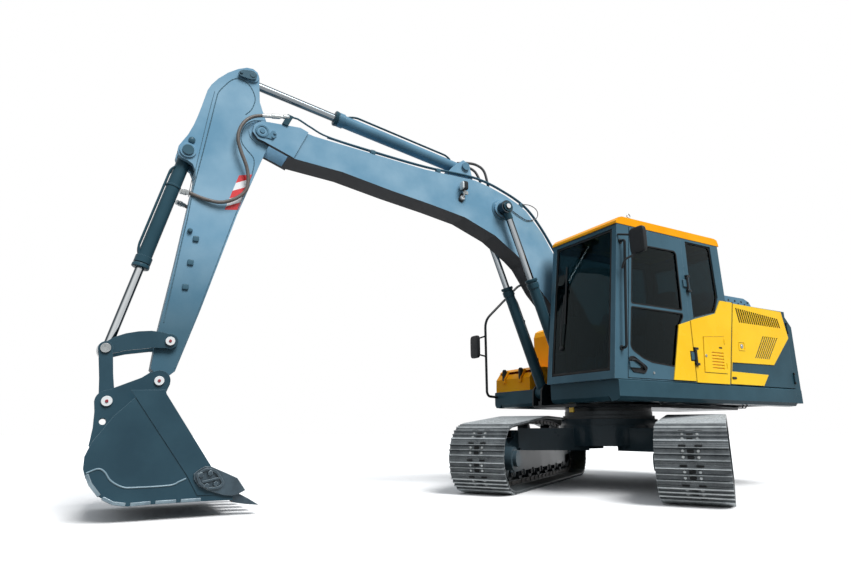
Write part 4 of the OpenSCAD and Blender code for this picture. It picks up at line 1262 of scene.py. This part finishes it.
@dataclass
class Cab:
    """Seat, seals, wiper, handle, mirrors and rails of the cab side."""

    side_y: float = SIDE_Y
    seat_y: float = 0.755

    def seat(self) -> None:
        """Crowned cushions with sewn channels, on a bellows base."""
        y = self.seat_y
        cushions = {
            "seat_cushion": ((0.005, y, 1.41), (0.25, 0.245, 0.075), False),
            "seat_back": ((-0.225, y, 1.77), (0.075, 0.24, 0.33), True),
            "head_rest": ((-0.315, y, 2.175), (0.05, 0.135, 0.085), True),
        }
        for name, (mid, half, upright) in cushions.items():
            v, f = pillow(mid, half, 0.42, 25, 48)
            rel = (v - np.array(mid)) / np.array(half)
            long, thin = (2, 0) if upright else (0, 2)
            scale = np.ones_like(v)
            scale[:, thin] -= 0.06 * np.exp(-((np.abs(rel[:, long]) - 0.45) / 0.06) ** 2)
            scale[:, 1] *= 1 - 0.05 * (1 - rel[:, long] ** 2)
            v = np.array(mid) + (v - np.array(mid)) * scale
            if upright:
                v[:, 0] -= 0.15 * (v[:, 2] - mid[2])
            fit(name, [(v, f)], CLOTH, Body.UPPER, Slot.CLOTH)
        high = 0.142
        folds = [(0.21 + 0.012 * math.cos(10 * math.pi * x), high * x)
                 for x in np.linspace(0, 1, 19)]
        bellows = revolve([(0, 0), *folds, (0, high)], np.array([0, y, 1.178]), UP, 40)
        base = fit("seat_bellows", [bellows], RUBBER, Body.UPPER, Slot.PLASTIC)
        posts = [sweep(np.array([[-0.262, v, 2.03], [-0.30, v, 2.12]]), 0.008)
                 for v in (0.70, 0.81)]
        fit("head_rest_posts", posts, ZINC, Body.UPPER, Slot.DARK)
        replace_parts(base, "operator_seat")

    def seals(self) -> None:
        """Rubber seals: flat rings on the rounded window outlines."""
        y = self.side_y
        upper = [(850, 1915), (765, 2550), (720, 2572), (440, 2582), (90, 2588), (62, 2560),
                 (62, 1915)]
        lower = [(854, 1880), (62, 1880), (62, 1838), (168, 1701), (272, 1292), (618, 1318),
                 (749, 1356), (880, 1424), (912, 1469)]
        door = [rim(grown(line, 5), grown(line, -9), y + 1.0, y + 7.5, FLAT.at)
                for line in (rounded_outline(corners, 24) for corners in (upper, lower))]
        fit("door_window_seals", door, RUBBER, Body.DOOR, Slot.PLASTIC)
        quarter = rounded_outline([(-122, 1850), (-122, 2740), (-570, 2740), (-600, 2130),
                                   (-520, 1950)], 60)
        ring = rim(grown(quarter, 3), grown(quarter, -14), y - 21, y - 12, FLAT.at)
        fit("quarter_window_seal", [ring], RUBBER, Body.UPPER, Slot.PLASTIC)

    @staticmethod
    def pane(p: Array) -> Array:
        """Lay points on the raked front pane, where X falls by 0.126 for each step up.

        Args:
            p: Rows of sideways, outwards and up, in metres.
        Returns:
            Rows of X, Y and Z.
        """
        return np.stack([1.1162 - 0.1260 * (p[:, 2] - 1.4) + p[:, 1], p[:, 0], p[:, 2]], axis=1)

    def front(self) -> None:
        """Front window seal and wiper on the raked pane."""
        corners = [(0.322, 1.222), (1.179, 1.222), (1.179, 2.72), (0.322, 2.72)]
        inner = grown(rounded_outline(corners, 0.05), -0.022)
        ring = rim(rounded_outline(corners, 0.02), inner, 0.0, 0.008, self.pane)
        fit("front_window_seal", [ring], RUBBER, Body.UPPER, Slot.PLASTIC)
        blade = self.pane(np.array([[0.50, 0.012, 1.80], [0.50, 0.012, 2.46]]))
        bend = np.array([[0.46, 0.02, 1.52], [0.47, 0.032, 1.75], [0.495, 0.026, 2.13]])
        arm = self.pane(smooth_path(bend, 14))
        hub = revolve([(0, 0), (0.026, 0), (0.026, 0.02), (0.018, 0.03), (0, 0.03)],
                      self.pane(np.array([[0.46, 0, 1.52]]))[0], np.array([0.992, 0, 0.126]), 20)
        fit("wiper", [sweep(blade, 0.009, 8), sweep(arm, 0.008, 8), hub], PLASTIC, Body.UPPER,
            Slot.PLASTIC)

    def handle(self) -> None:
        """Door handle: a rounded dark recess with a bar across it, and a lock."""
        y = self.side_y + 6
        cup = rounded_outline([(955, 1350), (885, 1362), (700, 1262), (742, 1205), (915, 1216)],
                              26)
        fit("door_handle_cup", [rim(grown(cup, 8), cup, y, y + 8, FLAT.at),
                                prism(cup, y, y + 2, FLAT.at)],
            PLASTIC, Body.DOOR, Slot.PLASTIC, 0.002)
        bar = FLAT.at([[925, y + 6, 1320], [890, y + 26, 1325], [790, y + 28, 1275],
                       [740, y + 6, 1240]])
        fit("door_handle", [sweep(smooth_path(bar, 20), 0.012)], PLASTIC, Body.DOOR, Slot.PLASTIC)
        lock = turned([(0, 0), (0.013, 0), (0.013, 0.006), (0.006, 0.009), (0, 0.009)], FLAT,
                      (608, y, 1212), 1, 20)
        fit("door_lock", [lock], ZINC, Body.DOOR, Slot.DARK)

    def hinges(self) -> None:
        """Black sleeves on the door's two hinge knuckles, and caps on the lugs beside them."""
        y = self.side_y / 1000 + 0.024
        knuckles = (1.42, 2.23)
        shell = [(0.0, -0.0695), (0.0152, -0.0695), (0.0152, 0.0695), (0.0, 0.0695)]
        fit("door_hinge_sleeves", [revolve(shell, np.array([-0.056, y, z]), UP) for z in knuckles],
            PLASTIC, Body.DOOR, Slot.PLASTIC)
        lugs = [pillow((-0.072, y - 0.0065, z + d), (0.0284, 0.0189, 0.0124), 0.06, 11, 20)
                for z in knuckles for d in (-0.0835, 0.0835)]
        fit("door_hinge_lugs", lugs, PLASTIC, Body.UPPER, Slot.PLASTIC)

    def roof(self) -> None:
        """Lifting eye and a stud near the roof's left edge: a ring on a short shank."""
        t = np.linspace(0, FULL_TURN, 33)
        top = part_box("cab_roof")[1][2] - 0.077
        x, y, r = 0.72, 1.205, 0.024
        ring = layer(np.stack([x + r * np.cos(t), top + 0.044 + r * np.sin(t)], axis=1), y)
        shank = revolve([(0, -0.02), (0.013, -0.02), (0.013, 0.008), (0.007, 0.012),
                         (0.007, 0.026), (0, 0.026)], np.array([x, y, top]), UP, 16)
        stud = bolt(np.array([0.06, 1.20, top - 0.004]), UP, 0.014, 0.022)
        fit("roof_lifting_eye", [sweep(ring, 0.006, 8), shank, stud], ZINC, Body.UPPER, Slot.DARK)

    def rails(self) -> None:
        """Bent steel tubes with round corners stand for the rail node."""
        s = self.side_y
        right = FLAT.run([(802.6, 1075), (940, 1085), (968, 1130), (968, 2120), (330, 2720),
                          (-330, 2720), (-460, 2590), (-460, 2060)], -1195)
        left = FLAT.at([[1035, s + 0.3, 1440], [1035, s + 62, 1440], [930, s + 62, 2570],
                        [930, s + 0.3, 2570]])
        tubes = [sweep(rounded_path(right, 0.11), 0.017, 12),
                 sweep(rounded_path(left, 0.05), 0.014, 12)]
        foot = [(0, 0), (0.028, 0), (0.028, 0.006), (0.018, 0.012), (0, 0.012)]
        feet = [turned(foot, FLAT, spot, 1, 18) for spot in ((1035, s, 1440), (930, s, 2570))]
        rails = fit("hand_rails", tubes + feet, BLACK_ENAMEL, Body.UPPER, Slot.DARK)
        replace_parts(rails, "handrail")

    def mirrors(self) -> None:
        """Rounded mirror shells with a silvered face, on bent arms."""
        s = self.side_y
        left, right = (s + 212) / 1000, (-s - 55) / 1000
        shells = [pillow((0.905, left, 2.528), (0.030, 0.094, 0.138), 0.35, 21, 40),
                  pillow((1.072, right, 1.755), (0.026, 0.095, 0.155), 0.35, 21, 40)]
        bent = FLAT.at([[1000, s + 60, 2250], [1000, s + 110, 2330], [930, s + 160, 2380],
                        [905, s + 180, 2420]])
        straight = ([[962, s + 4.5, 2640], [904, s + 160, 2600]],
                    [[968, -s + 48, 1900], [1070, -s - 40, 1860]],
                    [[968, -s + 48, 1620], [1070, -s - 40, 1660]])
        arms = [sweep(path, 0.011)
                for path in (smooth_path(bent, 16), *(FLAT.at(ends) for ends in straight))]
        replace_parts(fit("mirror_shells", shells + arms, PLASTIC, Body.UPPER, Slot.PLASTIC),
                    "mirrors")
        faces = [pillow((0.877, left, 2.528), (0.004, 0.078, 0.120), 0.3, 13, 28),
                 pillow((1.048, right, 1.755), (0.004, 0.079, 0.137), 0.3, 13, 28)]
        fit("mirror_faces", faces, MIRROR_GLASS, Body.UPPER, Slot.CHROME)

    def controls(self) -> None:
        """Lever gaiters as bellows about the lever, screen as a rounded block."""
        high, x, levers = 0.09, 0.24, (0.405, 1.095)
        folds = [(0.05 - 0.02 * t + 0.006 * math.cos(8 * math.pi * t), high * t)
                 for t in np.linspace(0, 1, 17)]
        boots = [revolve([*folds, (0, high)], np.array([x, y, 1.56]), UP) for y in levers]
        grips = [pillow((x, y, 1.75), (0.034, 0.03, 0.06), 0.7, 15, 24) for y in levers]
        fit("lever_gaiters", boots + grips, RUBBER, Body.UPPER, Slot.PLASTIC)
        fit("screen", [pillow((0.865, 0.40, 1.99), (0.03, 0.11, 0.08), 0.25)], PLASTIC,
            Body.UPPER, Slot.PLASTIC)

    def build(self) -> None:
        """Make all pieces of the cab."""
        for step in (self.seat, self.seals, self.front, self.handle, self.hinges, self.roof,
                     self.rails, self.mirrors, self.controls):
            step()


@dataclass
class Panels:
    """Locks, latches, backing screens, drains and the reflector of the machine's housing."""

    side_y: float = SIDE_Y

    @staticmethod
    def lock(x: float, lane: float, z: float, r: float) -> Part:
        """Round lock with a dished face.

        Args:
            x: Place along the machine, in millimetres.
            lane: Where its back lies.
            z: Height.
            r: Radius in metres.
        Returns:
            Vertices and faces.
        """
        profile = [(0, 0), (r, 0), (r, 0.004), (0.8 * r, 0.006), (0.3 * r, 0.004), (0, 0.004)]
        return turned(profile, FLAT, (x, lane, z), 1)

    def left_side(self) -> None:
        """Screens behind the grilles, locks, a slot and a catch on the left doors. The screens are
        solid dark sheets that also paint the shade behind the grilles, and the slot is a black pad
        of painted shade.
        """
        y = self.side_y
        grilles = ([(-865, 2040), (-1700, 1990), (-1745, 1860), (-895, 1860)],
                   [(-1355, 1745), (-1670, 1745), (-1420, 1462), (-1135, 1462)])
        # Solid dark sheets for the screens, with painted shade behind the grilles.
        screens = [prism(rounded_outline(q, 10), y - 7.9, y - 5.5, FLAT.at) for q in grilles]
        fit("grille_screens", screens, BLACK_ENAMEL, Body.LEFT_DOOR, Slot.DARK)
        fit("rear_door_lock", [self.lock(-909, y + 12, 1589, 0.026),
                               self.lock(-909, y + 15, 1589, 0.010)],
            ZINC, Body.LEFT_DOOR, Slot.DARK)
        plate = rounded_outline([(-850, 1640), (-968, 1640), (-968, 1538), (-850, 1538)], 16)
        fit("rear_door_lock_plate", [rim(plate, grown(plate, -8), y + 12, y + 17, FLAT.at)],
            AMBER, Body.LEFT_DOOR, Slot.YELLOW, 0.002)
        fit("filter_cover_lock", [self.lock(-240, y + 18, 1439, 0.016)], ZINC, Body.FILTER,
            Slot.DARK)
        # A black pad of painted shade stands in for the open slot.
        slot = rounded_outline([(-480, 1550), (-535, 1552), (-535, 1534), (-480, 1532)], 6)
        fit("filter_cover_slot", [prism(slot, y + 17.5, y + 19, FLAT.at)], RUBBER, Body.FILTER,
            Slot.PLASTIC)
        hook = rounded_outline([(-660, 1228), (-735, 1228), (-735, 1204), (-660, 1204)], 8)
        fit("side_door_catch", [prism(hook, y + 11.5, y + 20, FLAT.at)], PLASTIC, Body.LEFT_DOOR,
            Slot.PLASTIC, 0.002)

    def build(self) -> None:
        """Small pieces seated on the doors, covers and deck, in metres."""
        self.left_side()
        latches = [pillow((0.772, y, 1.345), (0.03, 0.024, 0.09), 0.5, 17, 24)
                   for y in (-1.05, -0.70)]
        fit("lid_latches", latches, RUBBER, Body.LID, Slot.PLASTIC)
        # Black discs stand in for the hood's punched holes: painted shade where the holes open onto
        # the dark inside.
        disc = [(0, 0), (0.015, 0), (0.015, 0.001), (0, 0.001)]
        holes = [revolve(disc, np.array([-1.07 - i * 0.066, s * 0.855, 2.236 + 0.034 * (i % 2)]),
                         s * LEFT, 16) for i in range(12) for s in SIDES]
        fit("hood_vent_holes", holes, RUBBER, Body.HOOD, Slot.PLASTIC)
        drain = np.array([(0.47, 0.96), (0.42, 0.925), (0.36, 0.914), (-0.30, 0.904),
                          (-0.90, 0.892), (-0.97, 0.905), (-1.02, 0.96)])
        pipes = [sweep(smooth_path(layer(drain, y), 60), 0.0065, 8) for y in (1.135, 1.175)]
        fit("drain_pipes", pipes, BLACK_ENAMEL, Body.UPPER, Slot.DARK)
        bracket = pillow((0.812, 0.252, 0.888), (0.004, 0.045, 0.052), 0.15, 9, 16)
        fit("reflector_bracket", [bracket], BLACK_ENAMEL, Body.UPPER, Slot.DARK)
        lens = pillow((0.820, 0.252, 0.868), (0.006, 0.036, 0.026), 0.2, 13, 24)
        fit("deck_reflector", [lens], YELLOW_REFLEX, Body.UPPER, Slot.YELLOW)


@dataclass
class Boom:
    """Pipes, hoses, lamp and pin caps on the boom and its cylinders."""

    half: float = 140.0
    length: float = 4618.0
    inner_rows: int = 8

    def pipes(self) -> None:
        """Four steel pipes on the boom's top edge, held by clamps."""
        run = [(930, 818), (1260, 1014), (1560, 1134), (1900, 1142), (2340, 1060), (2964, 780),
               (3600, 540), (4050, 386), (4250, 352), (4400, 338), (4470, 300)]
        spread = np.array([130.0] * self.inner_rows + [152.0, 168.0, 168.0])
        pieces: list[Part] = []
        for s in SIDES:
            inner = BOOM.run(run[:self.inner_rows], s * 111)
            pieces.append(sweep(smooth_path(BOOM.run(run, s * spread), 90), 0.0095))
            pieces.append(sweep(smooth_path(inner, 80), 0.0095))
        for x, z, lean in ((1640, 1118, 4.8), (2800, 834, -24.2), (3560, 540, -20)):
            turn = Jig(deg=BOOM.deg + lean).turn()[None]
            pieces += [scatter(pillow((0, y, 0), (0.028, 0.024, 0.026), 0.3, 11, 24),
                               BOOM.at([[x, 0, z]]), turn) for y in (-0.1205, 0.1205)]
        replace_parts(fit("boom_steel_pipes", pieces, SLATE_CAB, Body.BOOM, Slot.DARK),
                    "boom_pipes")

    def arm_hoses(self) -> None:
        """Two hoses over the arm pivot, from the boom's pipe ends to the bucket cylinder."""
        route = np.array([(-151, 57), (-96, 125), (-11, 175), (96, 194), (206, 174), (312, 105),
                          (429, 8), (552, -53), (661, -64), (772, -5), (855, 94), (884, 230),
                          (880, 365)], float)
        lane = np.array([170, 174, 182, 188, 188, 185, 178, 172, 168, 162, 152, 140, 120])
        for side, name, ahead in ((1, "left", 0.0), (-1, "right", 40.0)):
            q = route + np.array([ahead, 0.0])
            path = smooth_path(ARM.run(q, side * lane), 60)
            obj = hose(f"arm_hose_{name}", path, 0.017, WRAPPED_HOSE, (Body.BOOM, Body.ARM),
                       (path[2], path[24]))
            if side > 0:
                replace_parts(obj, "arm_hoses")
            end = ARM.spot(q[-1, 0] + 10, side * (lane[-1] - 30), q[-1, 1] + 75)
            fit(f"arm_hose_fitting_{name}", [fitting(path[-1], end, 0.021)], ZINC, Body.ARM,
                Slot.DARK)
            start = BOOM.spot(4475, side * 168, 298)
            fit(f"boom_hose_fitting_{name}", [fitting(path[0], start, 0.019)], ZINC, Body.BOOM,
                Slot.DARK)

    def boom_hoses(self) -> None:
        """Two hoses at the arm cylinder's foot and a thin grease line at the cylinder boss."""
        feeds = (([(2590, 1150), (2477, 1234), (2355, 1285), (2243, 1255), (2130, 1092)],
                  (40, 42, 52, 72, 94)),
                 ([(2560, 1120), (2449, 1190), (2341, 1180), (2245, 1074)], (30, 36, 60, 96)))
        for k, (route, lane) in enumerate(feeds):
            hose(f"cylinder_hose_{k}", smooth_path(BOOM.run(route, lane), 40), 0.016, BLACK_HOSE,
                 (Body.BOOM, None))
        loop = [(1745, 960), (1608, 959), (1496, 977), (1396, 1070), (1393, 1150), (1447, 1190),
                (1543, 1180), (1640, 1128)]
        hose("grease_line", smooth_path(BOOM.run(loop, 150), 50), 0.005, BLACK_HOSE,
             (Body.BOOM, None), sides=8)

    def lamp(self) -> None:
        """Work lamp: a foot on the boom's side, a bent stem, a rounded housing and a lens."""
        mid = BOOM.spot(2462, 205, 815)
        foot = rounded_outline([(2380, 750), (2446, 750), (2446, 650), (2380, 650)], 18)
        body = [pillow(mid, (0.036, 0.040, 0.052), 0.4, 19, 32),
                prism(foot, self.half + 0.3, self.half + 10, BOOM.at)]
        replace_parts(fit("boom_lamp", body, PLASTIC, Body.BOOM, Slot.PLASTIC), "work_lamp")
        bend = BOOM.at([[2412, 148, 695], [2412, 176, 705], [2424, 196, 750], [2440, 204, 785]])
        clip = pillow(BOOM.spot(2414, 192, 752), (0.034, 0.014, 0.022), 0.35, 11, 24)
        fit("boom_lamp_stem", [sweep(smooth_path(bend, 24), 0.012, 12), clip], ZINC, Body.BOOM,
            Slot.DARK)
        fit("boom_lamp_nut", [washer(BOOM, (2412, 695), 150, 27, 1, 26)], WHITE_CAP, Body.BOOM,
            Slot.CHROME)
        lens = pillow(mid + np.array([0.033, 0.004, -0.004]), (0.012, 0.036, 0.046), 0.4, 15, 28)
        fit("boom_lamp_lens", [lens], LENS, Body.BOOM, Slot.GLASS)

    def pins(self) -> None:
        """Washers, keeper plates and bolts at the boom's pins, and the ends of its pipes."""
        tip = [(0.0455, 0), (0.066, 0), (0.066, 0.010), (0.062, 0.014), (0.0455, 0.014)]
        boss = [(0.105, 0), (0.128, 0), (0.115, 0.014), (0.105, 0.020)]
        keeper = rounded_outline([(4600, -66), (4545, -34), (4491, -20), (4480, 40), (4512, 78),
                                  (4545, 66), (4552, 10), (4590, -40)], 14)
        pipe_end = rounded_outline([(4440, 200), (4500, 190), (4500, 318), (4440, 330)], 10)
        caps: list[Part] = []
        for s in SIDES:
            caps += [turned(tip, BOOM, (self.length, s * 164, 0), s, 36),
                     washer(BOOM, (self.length, 0), s * 172, 26, s),
                     prism(keeper, *lanes(s, 164, 173), BOOM.at),
                     bolt(BOOM.spot(4508, s * 173, 48), s * LEFT, 0.015, 0.012),
                     bolt(BOOM.spot(4506, s * 173, 2), s * LEFT, 0.015, 0.012),
                     washer(BOOM, (2505, 1122), s * 120, 50, s, 10),
                     turned(boss, BOOM, (1889, s * self.half, 874), s, 40)]
        fit("boom_pin_caps", caps, SLATE_PANEL, Body.BOOM, Slot.BLUE)
        rod_pin = Jig(*BOOM_ROD_PIN, 0, MID_Y)
        ends = [washer(rod_pin, (0, 0), s * 303, 29, s, 6) for s in SIDES]
        fit("boom_rod_pin_caps", ends, WHITE_CAP, Body.BOOM_RODS, Slot.CHROME)
        fit("boom_rod_eyes", [part for s in SIDES for part in self.rod_eye(s)], SLATE,
            Body.BOOM_RODS, Slot.BLUE)
        brackets = [prism(pipe_end, *lanes(s, 151, 180), BOOM.at) for s in SIDES[::-1]]
        fit("pipe_end_brackets", brackets, SLATE, Body.BOOM, Slot.BLUE, 0.003)

    @staticmethod
    def rod_eye(side: int) -> list[Part]:
        """Sleeve round a boom rod's eye and the collar behind it.

        Args:
            side: One for the left rod, minus one for the right.
        Returns:
            The sleeve and the collar.
        """
        lane = MID_Y + side * BOOM_CYLINDER_LANE
        jig = Jig(*BOOM_ROD_PIN, Jig.between(BOOM_FOOT_PIN, BOOM_ROD_PIN, lane).deg, lane)
        low, high = lanes(side, -0.0552, 0.0586)
        shell = [(0.036, low), (0.0566, low), (0.0566, high), (0.036, high)]
        collar = [(0.0405, 0), (0.046, 0.004), (0.046, 0.080), (0.054, 0.104), (0.0405, 0.104)]
        return [revolve(shell, jig.spot(0, 0, 0), LEFT, 40),
                revolve(collar, jig.spot(-150, 0, 0), jig.turn()[:, 0], 32)]

    def cylinders(self) -> None:
        """Gland rings, clamps and hard pipes on the barrels of the boom and arm cylinders."""
        rings: list[Part] = []
        for s in SIDES:
            jig = Jig.between(BOOM_FOOT_PIN, BOOM_ROD_PIN, MID_Y + s * BOOM_CYLINDER_LANE)
            pipe = jig.run([(140, 62), (190, 80), (1150, 80), (1225, 62)], 0)
            rings += [gland(jig, 1330, 0.042, 0.070, 0.074, 0.066),
                      sweep(rounded_path(pipe, 0.04), 0.011)]
            rings += [pillow(jig.spot(x, 0, 70), (0.022, 0.018, 0.022), 0.4, 11, 20)
                      for x in (400, 900)]
        fit("boom_cylinder_rings", rings, SLATE, Body.BOOM_BARRELS, Slot.BLUE)
        jig = Jig.between(ARM_FOOT_PIN, ARM_ROD_PIN, MID_Y)
        pipe = [(180, 52), (240, 84), (1400, 84), (1480, 50)]
        parts = [gland(jig, 1590, 0.044, 0.078, 0.081, 0.072)]
        parts += [sweep(rounded_path(jig.run(pipe, lane), 0.05), 0.011) for lane in (-40, 40)]
        fit("arm_cylinder_rings", parts, SLATE, Body.ARM_BARREL, Slot.BLUE)

    def build(self) -> None:
        """Make all pieces of the boom."""
        for step in (self.pipes, self.arm_hoses, self.boom_hoses, self.lamp, self.pins,
                     self.cylinders):
            step()


@dataclass
class Arm:
    """Stripe, seams, bolts and pin caps on the arm and the bucket cylinder."""

    half: float = 116.0
    band_thick: float = 0.8
    bands: int = 5

    def stripe(self) -> None:
        """Slanted bands along the arm's rear edge: parallelograms cut at even steps."""
        cuts = np.linspace(454, 885, self.bands + 1)
        for first, name, finish in ((0, "red_bands", RED_SHEET), (1, "white_bands", WHITE_SHEET)):
            sheets: list[Part] = []
            for a, b in zip(cuts[first:-1:2], cuts[first + 1::2]):
                q = np.array([(a + 60, 38), (b + 60, 38), (b - 44, -72), (a - 44, -72)])
                q[:, 0] = np.clip(q[:, 0], 446, 892)
                sheets += [prism(q, *lanes(s, self.half, self.half + self.band_thick), ARM.at)
                           for s in SIDES]
            fit(name, sheets, finish, Body.ARM, Slot.YELLOW)

    def seams(self) -> None:
        """Weld beads: thin tubes with ripples, half sunk in the plate."""
        head = [(2050, 138), (1313, 264), (1119, 295), (858, 346), (695, 370), (450, 404),
                (133, 451), (-110, 488), (-197, 496), (-291, 473), (-380, 440), (-430, 399),
                (-445, 342), (-429, 272), (-372, 206), (-301, 168), (-192, 166), (-110, 197)]
        hub = [(-128, 40), (-79, 118), (8, 163), (110, 160), (181, 131), (231, 63), (275, -15),
               (340, -50), (445, -66)]
        rear = [(445, -70), (886, -66), (1848, -84), (2380, -80)]
        second = [(-187, 530), (-37, 510), (191, 475), (466, 431), (668, 396), (827, 366)]
        ripple, step = 0.0007, 1.7
        seams = ((head, 300, 0.0048), (hub, 90, 0.0046), (rear, 120, 0.0036))
        beads = [sweep(smooth_path(ARM.run(route, s * self.half), count),
                       thick + ripple * np.sin(np.arange(count) * step), 8)
                 for s in SIDES for route, count, thick in seams]
        beads += [sweep(smooth_path(ARM.run(second, s * self.half), 80), 0.0030, 8)
                  for s in SIDES]
        # The beads are darker than the arm: painted shade along the seams.
        fit("arm_weld_beads", beads, SLATE_CAB, Body.ARM, Slot.BLUE)

    def pins(self) -> None:
        """Caps, keeper plates, clamps and bolts on the arm's sides."""
        keeper = rounded_outline([(-470, 412), (-524, 396), (-578, 290), (-556, 240), (-498, 236),
                                  (-470, 300), (-456, 380)], 26)
        post = [(0, 0), (0.02, 0), (0.02, 0.026), (0, 0.026)]
        plug = [(0, 0), (0.03, 0), (0.03, 0.012), (0.014, 0.022), (0, 0.022)]
        nipple = [(0, 0), (0.022, 0), (0.022, 0.02), (0.012, 0.03), (0, 0.03)]
        caps: list[Part] = []
        for s in SIDES:
            y = s * self.half
            caps += [washer(ARM, (501, 523), s * 138, 50, s),
                     prism(keeper, *lanes(s, 142, 152), ARM.at),
                     washer(ARM, (-529, 280), s * 152, 26, s, 6),
                     bolt(ARM.spot(-494, s * 152, 384), s * LEFT, 0.016, 0.012),
                     turned(post, ARM, (-494, y, 384), s, 18),
                     turned(plug, ARM, (389, y, 530), s, 20),
                     turned(nipple, ARM, (1211, y, 236), s, 16)]
            caps += [pillow(ARM.spot(x, s * 122, z), (0.026, 0.012, 0.026), 0.4, 11, 20)
                     for x, z in ((1260, 165), (1480, 130), (1700, 90))]
        fit("arm_pin_caps", caps, SLATE_CAB, Body.ARM, Slot.BLUE)

    def cylinder(self) -> None:
        """Gland ring, clamp and hard pipes on the bucket cylinder."""
        jig = Jig.between(BUCKET_FOOT_PIN, BUCKET_ROD_PIN, MID_Y)
        clamp = [(0.0605, 0), (0.066, 0.002), (0.066, 0.020), (0.0605, 0.022)]
        pipe = [(150, 44), (200, 76), (980, 76), (1050, 44)]
        parts = [gland(jig, 1120, 0.038, 0.070, 0.073, 0.064),
                 revolve(clamp, jig.spot(330, 0, 0), jig.turn()[:, 0], 32)]
        parts += [sweep(rounded_path(jig.run(pipe, lane), 0.05), 0.010) for lane in (-34, 34)]
        fit("bucket_cylinder_rings", parts, SLATE, Body.BUCKET_BARREL, Slot.BLUE)

    def build(self) -> None:
        """Make all pieces of the arm."""
        for step in (self.stripe, self.seams, self.pins, self.cylinder):
            step()


@dataclass
class Bucket:
    """Pin caps, seams, wear strips and cutter bolts on the bucket."""

    half: float = 500.0
    link_pin: tuple[float, float] = (351, -168)
    strip_wide: float = 26.0

    def pins(self) -> None:
        """White washers with a red plug in the middle of each pin."""
        rocker, joint = Jig(*ROCKER_PIN, 0, MID_Y), Jig(*BUCKET_ROD_PIN, 0, MID_Y)
        white: list[Part] = []
        red: list[Part] = []
        for s in SIDES:
            for at, radius in (((0, 0), 37), (self.link_pin, 39)):
                white.append(washer(BUCKET, at, s * 242, radius, s))
                red.append(washer(BUCKET, at, s * 249, 12, s))
        fit("bucket_pin_washers", white, WHITE_CAP, Body.BUCKET, Slot.CHROME)
        fit("bucket_pin_plugs", red, RED_CAP, Body.BUCKET, Slot.PLASTIC)
        fit("rocker_pin_washers", [washer(rocker, (0, 0), s * 172, 37, s) for s in SIDES],
            WHITE_CAP, Body.ARM, Slot.CHROME)
        fit("link_pin_washers", [washer(joint, (0, 0), s * 202, 38, s, 6) for s in SIDES],
            ZINC, Body.LINK, Slot.CHROME)
        fit("rocker_pin_plugs", [washer(rocker, (0, 0), s * 179, 12, s) for s in SIDES],
            RED_CAP, Body.ARM, Slot.PLASTIC)

    def skins(self) -> None:
        """Proud edge plates, weld beads and wear strips on both side walls."""
        edge = np.array([(-30, -84), (205, -94), (-243, -714), (-330, -862), (-560, -862),
                         (-414, -653), (-44, -118)], float)
        weld = [(420, -677), (351, -650), (306, -672), (260, -733), (183, -778), (103, -786),
                (-129, -780), (-195, -756), (-241, -736)]
        ear = [(420, -500), (300, -360), (180, -220), (60, -110)]
        strips = ([(428, -690), (395, -760), (330, -840)], [(306, -858), (233, -897), (150, -912)],
                  [(118, -913), (-16, -908)], [(-46, -908), (-187, -906)],
                  [(-218, -906), (-360, -904)])
        plates: list[Part] = []
        beads: list[Part] = []
        wear: list[Part] = []
        for s in SIDES:
            plates.append(prism(edge, *lanes(s, self.half, self.half + 7), BUCKET.at))
            beads += [sweep(smooth_path(BUCKET.run(weld, s * self.half), 140), 0.0065, 8),
                      sweep(smooth_path(BUCKET.run(ear, s * 232), 40), 0.006, 8)]
            for q in (np.array(strip, float) for strip in strips):
                d = unit(np.gradient(q, axis=0))
                inner = q + self.strip_wide * np.stack([d[:, 1], -d[:, 0]], axis=1)
                wear.append(prism(np.vstack([q, inner[::-1]]),
                                  *lanes(s, self.half - 2, self.half + 9), BUCKET.at))
        fit("bucket_edge_plates", plates, SLATE_BUCKET, Body.BUCKET, Slot.BUCKET, 0.003)
        # The beads are lighter than the bucket: a painted highlight along them.
        fit("bucket_weld_beads", beads, SLATE_BEAD, Body.BUCKET, Slot.BUCKET)
        fit("bucket_wear_strips", wear, WEAR_STEEL, Body.BUCKET, Slot.SHOE, 0.004)

    def cutters(self) -> None:
        """Bolts in a raised frame on each side cutter."""
        rib = rounded_outline([(-300, -706), (-368, -660), (-430, -668), (-474, -704),
                               (-518, -774), (-490, -812), (-400, -822), (-330, -778)], 24)
        bar = np.array([(-352, -756), (-484, -728), (-488, -742), (-356, -772)], float)
        parts: list[Part] = []
        for s in SIDES:
            low, high = lanes(s, self.half + 21, self.half + 40)
            parts += [rim(rib, grown(rib, -17), low, high, BUCKET.at),
                      prism(bar, low, high - 4 if s > 0 else high, BUCKET.at)]
            parts += [bolt(BUCKET.spot(x, s * (self.half + 22), z), s * LEFT, 0.021, 0.022)
                      for x, z in ((-340, -712), (-406, -700), (-388, -790), (-452, -778))]
        fit("cutter_bolts", parts, TOOTH_STEEL, Body.BUCKET, Slot.SHOE)

    def build(self) -> None:
        """Make all pieces of the bucket."""
        for step in (self.pins, self.skins, self.cutters):
            step()


def write_sizes() -> None:
    """Make the frame's box and the dressed model's box into plain lists; nothing is written."""
    plain = lambda box: [[float(x) for x in corner] for corner in box]
    {"cad": plain(CAD_BOX), "visual": plain(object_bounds())}


def main() -> None:
    """Build the studio and every sub-assembly in order."""
    logging.basicConfig(level=logging.INFO, format="%(name)s %(message)s")
    studio = Studio()
    studio.camera()
    studio.light()
    studio.floor()
    dress_nodes()
    for assembly in (Boom(), Undercarriage(), Cab(), Panels(), Arm(), Bucket()):
        assembly.build()
    write_sizes()


if __name__ == "__main__":
    main()
